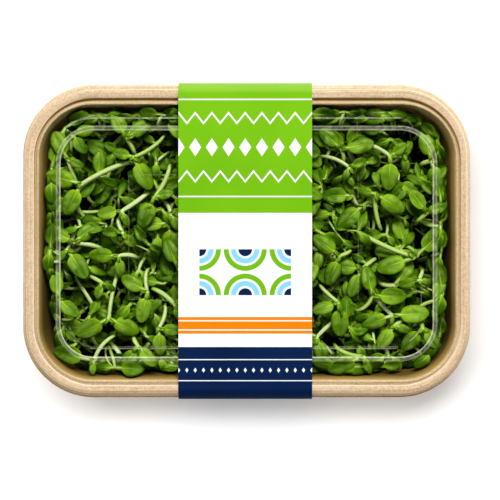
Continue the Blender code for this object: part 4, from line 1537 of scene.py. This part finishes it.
def place_small(shoots, lifts):
    """Younger shoots between and below the large ones, seeded, each in the bunch it is over."""
    draw = random.Random(SEED + 1)
    taken = []
    for shoot, lift in zip(shoots, lifts):
        taken += [(Vector(point), STEM_RADIUS) for point in stem_path(shoot, lift)]
        taken += feelers(shoot)[STEM_FEELERS:]
    small = []
    for cell in CELLS * SMALL_TURNS:
        tree = tree_of(taken)
        share = HIDDEN_SHARE if is_hidden(cell) else 1
        plan = [small_shoot] * (SMALL_PER_TURN // share)
        plan += [stray_shoot] * (STRAYS_PER_TURN // share)
        if cell[0] in (0, COLUMNS - 1) or cell[1] in (0, ROWS - 1):
            plan = [wall_shoot] * WALL_PER_TURN + plan
        for grow in plan:
            for _ in range(SMALL_TRIES):
                shoot = grow_shoot(cell, *grow(draw, cell), random_habit(draw, SMALL_HABIT))
                points = feelers(shoot)[::3]
                if is_clear(points, taken, tree, SMALL_GAP):
                    leaf_painted_shade = WALL_PAINTED_SHADE if grow is wall_shoot else SMALL_PAINTED_SHADE
                    small.append((shoot, draw.uniform(*SMALL_STEM), leaf_painted_shade))
                    taken.extend(points)
                    break
    return small


def facing_up(tree):
    """How far the surface turns up, from -1 to 1."""
    return part_of(add_node(tree, "NewGeometry").outputs["Normal"], 2)


def leaf_material():
    material, tree, shader = start_material("leaf_look")
    share = fact(tree, "share")
    across = calc("ABSOLUTE", fact(tree, "across"))
    chance = fact(tree, "chance")
    mottle = noise_at(tree, 260)
    # Painted sheen: paler, greyer patches in the middle of each puffed half of upward-facing,
    # unshaded blades
    puff = ramp(calc("ABSOLUTE", calc("SUBTRACT", across, 0.5)), 0.45, 0.12)
    painted_sheen = calc("MULTIPLY", puff, ramp(mottle, 0.66, 0.42))
    painted_sheen = calc("MULTIPLY", painted_sheen, ramp(share, 0.02, 0.4, 0, 0.6))
    painted_sheen = calc("MULTIPLY", painted_sheen, ramp(chance, -0.3, 0.2))
    painted_sheen = calc("MULTIPLY", painted_sheen, ramp(facing_up(tree), 0.7, 0.95, 0.15, 1))
    rib = ramp(calc("DIVIDE", across, ramp(share, 0.0, 0.9, 0.12, 0.035)), 1.0, 0.35)
    rib = calc("MULTIPLY", rib, ramp(share, 0.8, 0.1, 0, 0.62))
    slant = calc("SUBTRACT", calc("MULTIPLY", share, 7), calc("MULTIPLY", across, 2.2))
    vein = calc("ABSOLUTE", calc("SUBTRACT", calc("FRACT", slant), 0.5))
    vein = ramp(vein, 0.09, 0.02)
    color = mix(ramp(chance, 0, 1), (0.072, 0.174, 0.001), (0.18, 0.33, 0.003))
    color = paint(color, (
        (mottle, 0.3, 0.7, 0.4, (0.042, 0.124, 0.001)),
        # Painted shade: chance below 0 darkens the leaves of lower and wall shoots
        (chance, 0, -1, 1, (0.018, 0.05, 0.001)),
    ))
    color = mix(painted_sheen, color, (0.262, 0.395, 0.085))
    color = paint(color, [(share, 0.45, -0.1, 0.75, (0.28, 0.48, 0.014))])
    color = mix(rib, color, (0.40, 0.60, 0.10))
    color = mix(calc("MULTIPLY", vein, 0.12), color, (0.22, 0.40, 0.05))
    fine = calc("MULTIPLY", noise_at(tree, 1500), 0.5)
    relief = calc("SUBTRACT", fine, calc("MULTIPLY", vein, 0.5))
    feed(shader.inputs, {
        "Base Color": color,
        "Roughness": ramp(mottle, 0.3, 0.7, 0.4, 0.52),
        "Specular IOR Level": 0.3,
        "Specular Tint": (0.95, 1, 0.35),
        "Normal": bump(relief, 0.08 * MM, 0.7),
    })
    return material


def stem_material():
    material, tree, shader = start_material("stem_look")
    color = mix(fact(tree, "chance"), (0.42, 0.55, 0.14), (0.70, 0.74, 0.48))
    color = paint(color, (
        (fact(tree, "share"), 0.95, 1.5, 1, (0.28, 0.48, 0.03)),
        # Painted light: the upper side of each stem is paler, its sides greener and darker
        (facing_up(tree), 0.97, 0.4, 0.8, (0.26, 0.43, 0.015)),
        (noise_at(tree, 300), 0.4, 0.7, 0.3, (0.40, 0.58, 0.08)),
        (fact(tree, "across"), 0.1, -0.9, 0.35, (0.36, 0.54, 0.09)),
    ))
    feed(shader.inputs, {
        "Base Color": color,
        "Roughness": 0.5,
        "Specular IOR Level": 0.25,
        "Normal": bump(noise_at(tree, 1300, 2), 0.05 * MM, 0.6),
    })
    return material


def painted_shade_tangle_material():
    material, tree, shader = start_material("tangle_painted_shade_look")
    mottle = noise_at(tree, 300, 4)
    # Painted shade: the heap is near black, as the shaded depths between the stems
    color = mix(ramp(mottle, 0.35, 0.65), (0.002, 0.006, 0.0003), (0.012, 0.026, 0.001))
    feed(shader.inputs, {
        "Base Color": color,
        "Roughness": 0.8,
        "Specular IOR Level": 0.05,
        "Normal": bump(mottle, 1 * MM, 1),
    })
    return material


def add_tangle(skin, cell):
    """A low uneven heap, so that each bunch stands on something. It is coloured near black as
    painted shade.
    """
    middle = cell_middle(*cell)
    top = np.zeros((HEAP_STEPS, HEAP_STEPS, 3))
    bottom = top.copy()
    for row, column in np.ndindex(HEAP_STEPS, HEAP_STEPS):
        u = column / (HEAP_STEPS - 1) * 2 - 1
        v = row / (HEAP_STEPS - 1) * 2 - 1
        spot = Vector((u * CELL_LENGTH / 2, v * CELL_WIDTH / 2, 0)) * HEAP_FILL
        if (cell[0] == 0 and u < 0) or (cell[0] == COLUMNS - 1 and u > 0):
            spot.x += u * HEAP_OUT
        if (cell[1] == 0 and v < 0) or (cell[1] == ROWS - 1 and v > 0):
            spot.y += v * HEAP_OUT
        height = TANGLE_SHOULDER + HEAP_BUMPS * noise.noise((spot + middle) * HEAP_NOISE)
        height -= HEAP_FALL * max(abs(u), abs(v)) ** HEAP_EDGE
        while room_at(spot + middle, height) < 2 * WALL_GAP:
            spot *= TANGLE_NUDGE
        top[row, column] = spot + middle + UP * height
        spot = Vector((top[row, column][0], top[row, column][1], TANGLE_BOTTOM))
        while room_at(spot, TANGLE_BOTTOM) < 2 * WALL_GAP:
            spot = spot.lerp(Vector((middle.x, middle.y, TANGLE_BOTTOM)), 1 - TANGLE_NUDGE)
        bottom[row, column] = spot
    zeros = np.zeros(HEAP_STEPS)
    add_sheet(skin, top, bottom, 2, zeros, zeros, 0.5)


def build_shoots():
    shoots = place_shoots()
    lifts = raise_stems(shoots)
    small = place_small(shoots, lifts)
    slots = [leaf_material(), stem_material(), painted_shade_tangle_material()]
    draw = random.Random(SEED + 2)
    cells = [(column, row) for row in reversed(range(ROWS)) for column in range(COLUMNS)]
    for number, cell in enumerate(cells, 1):
        skin = Skin()
        add_tangle(skin, cell)
        for shoot, lift in zip(shoots, lifts):
            if shoot.bunch == cell:
                add_shoot(skin, shoot, draw, STEM_RADIUS, True, 0.0, lift)
        for shoot, radius, leaf_painted_shade in small:
            if shoot.bunch == cell:
                add_shoot(skin, shoot, draw, radius, False, leaf_painted_shade)
        item = skin.build(f"shoots_{number:02d}", slots)
        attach(item, "root")
        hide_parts(f"bunch_{number:02d}")


# Stage, light and camera


def stage_floor():
    material, _, shader = start_material("floor_look")
    feed(shader.inputs, {
        "Base Color": (0.86, 0.86, 0.86),
        "Roughness": 0.9,
        "Specular IOR Level": 0.1,
        "Emission Color": (1, 1, 1),
        "Emission Strength": FLOOR_GLOW,
    })
    low, high = -FLOOR_REACH, FLOOR_REACH
    corners = [(low, low, 0), (high, low, 0), (high, high, 0), (low, high, 0)]
    floor = new_mesh_object("floor", corners, [(0, 1, 2, 3)], [material], smooth=False)
    floor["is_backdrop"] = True


def light_up():
    world = bpy.data.worlds.new("studio")
    world.use_nodes = True
    tree = world.node_tree
    height = part_of(add_node(tree, "TexCoord").outputs["Generated"], 2)
    color = mix(ramp(height, 0.0, 0.6), (1, 1, 1), (0.03, 0.03, 0.03))
    feed(tree.nodes["Background"].inputs, {0: color, 1: WORLD_STRENGTH})
    bpy.context.scene.world = world
    receivers = {}
    for kind, staged in (("object", False), ("floor", True)):
        receivers[kind] = bpy.data.collections.new(f"lit {kind}")
        for item in bpy.context.scene.objects:
            if item.type == "MESH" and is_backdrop(item) == staged:
                receivers[kind].objects.link(item)
    for name, place, size, power, kind in LIGHTS:
        lamp = bpy.data.lights.new(name, "AREA")
        lamp.shape = "RECTANGLE"
        lamp.size, lamp.size_y = size
        lamp.energy = power
        item = bpy.data.objects.new(name, lamp)
        item.location = place
        item.rotation_mode = "QUATERNION"
        item.rotation_quaternion = (-Vector(place)).to_track_quat("-Z", "Y")
        bpy.context.scene.collection.objects.link(item)
        if kind:
            item.light_linking.receiver_collection = receivers[kind]


def set_camera():
    lens = bpy.data.cameras.new("camera")
    lens.lens = CAMERA_LENS
    lens.sensor_width = 36
    lens.clip_start = 0.01
    lens.clip_end = 10
    camera = bpy.data.objects.new("camera", lens)
    camera.location = CAMERA_AT
    bpy.context.scene.collection.objects.link(camera)
    bpy.context.scene.camera = camera
    bpy.context.scene.view_settings.view_transform = "Standard"
    bpy.context.scene.view_settings.look = "Medium High Contrast"


set_camera()
stage_floor()
fine_tray()
fine_lid()
fine_sleeve()
build_shoots()
light_up()
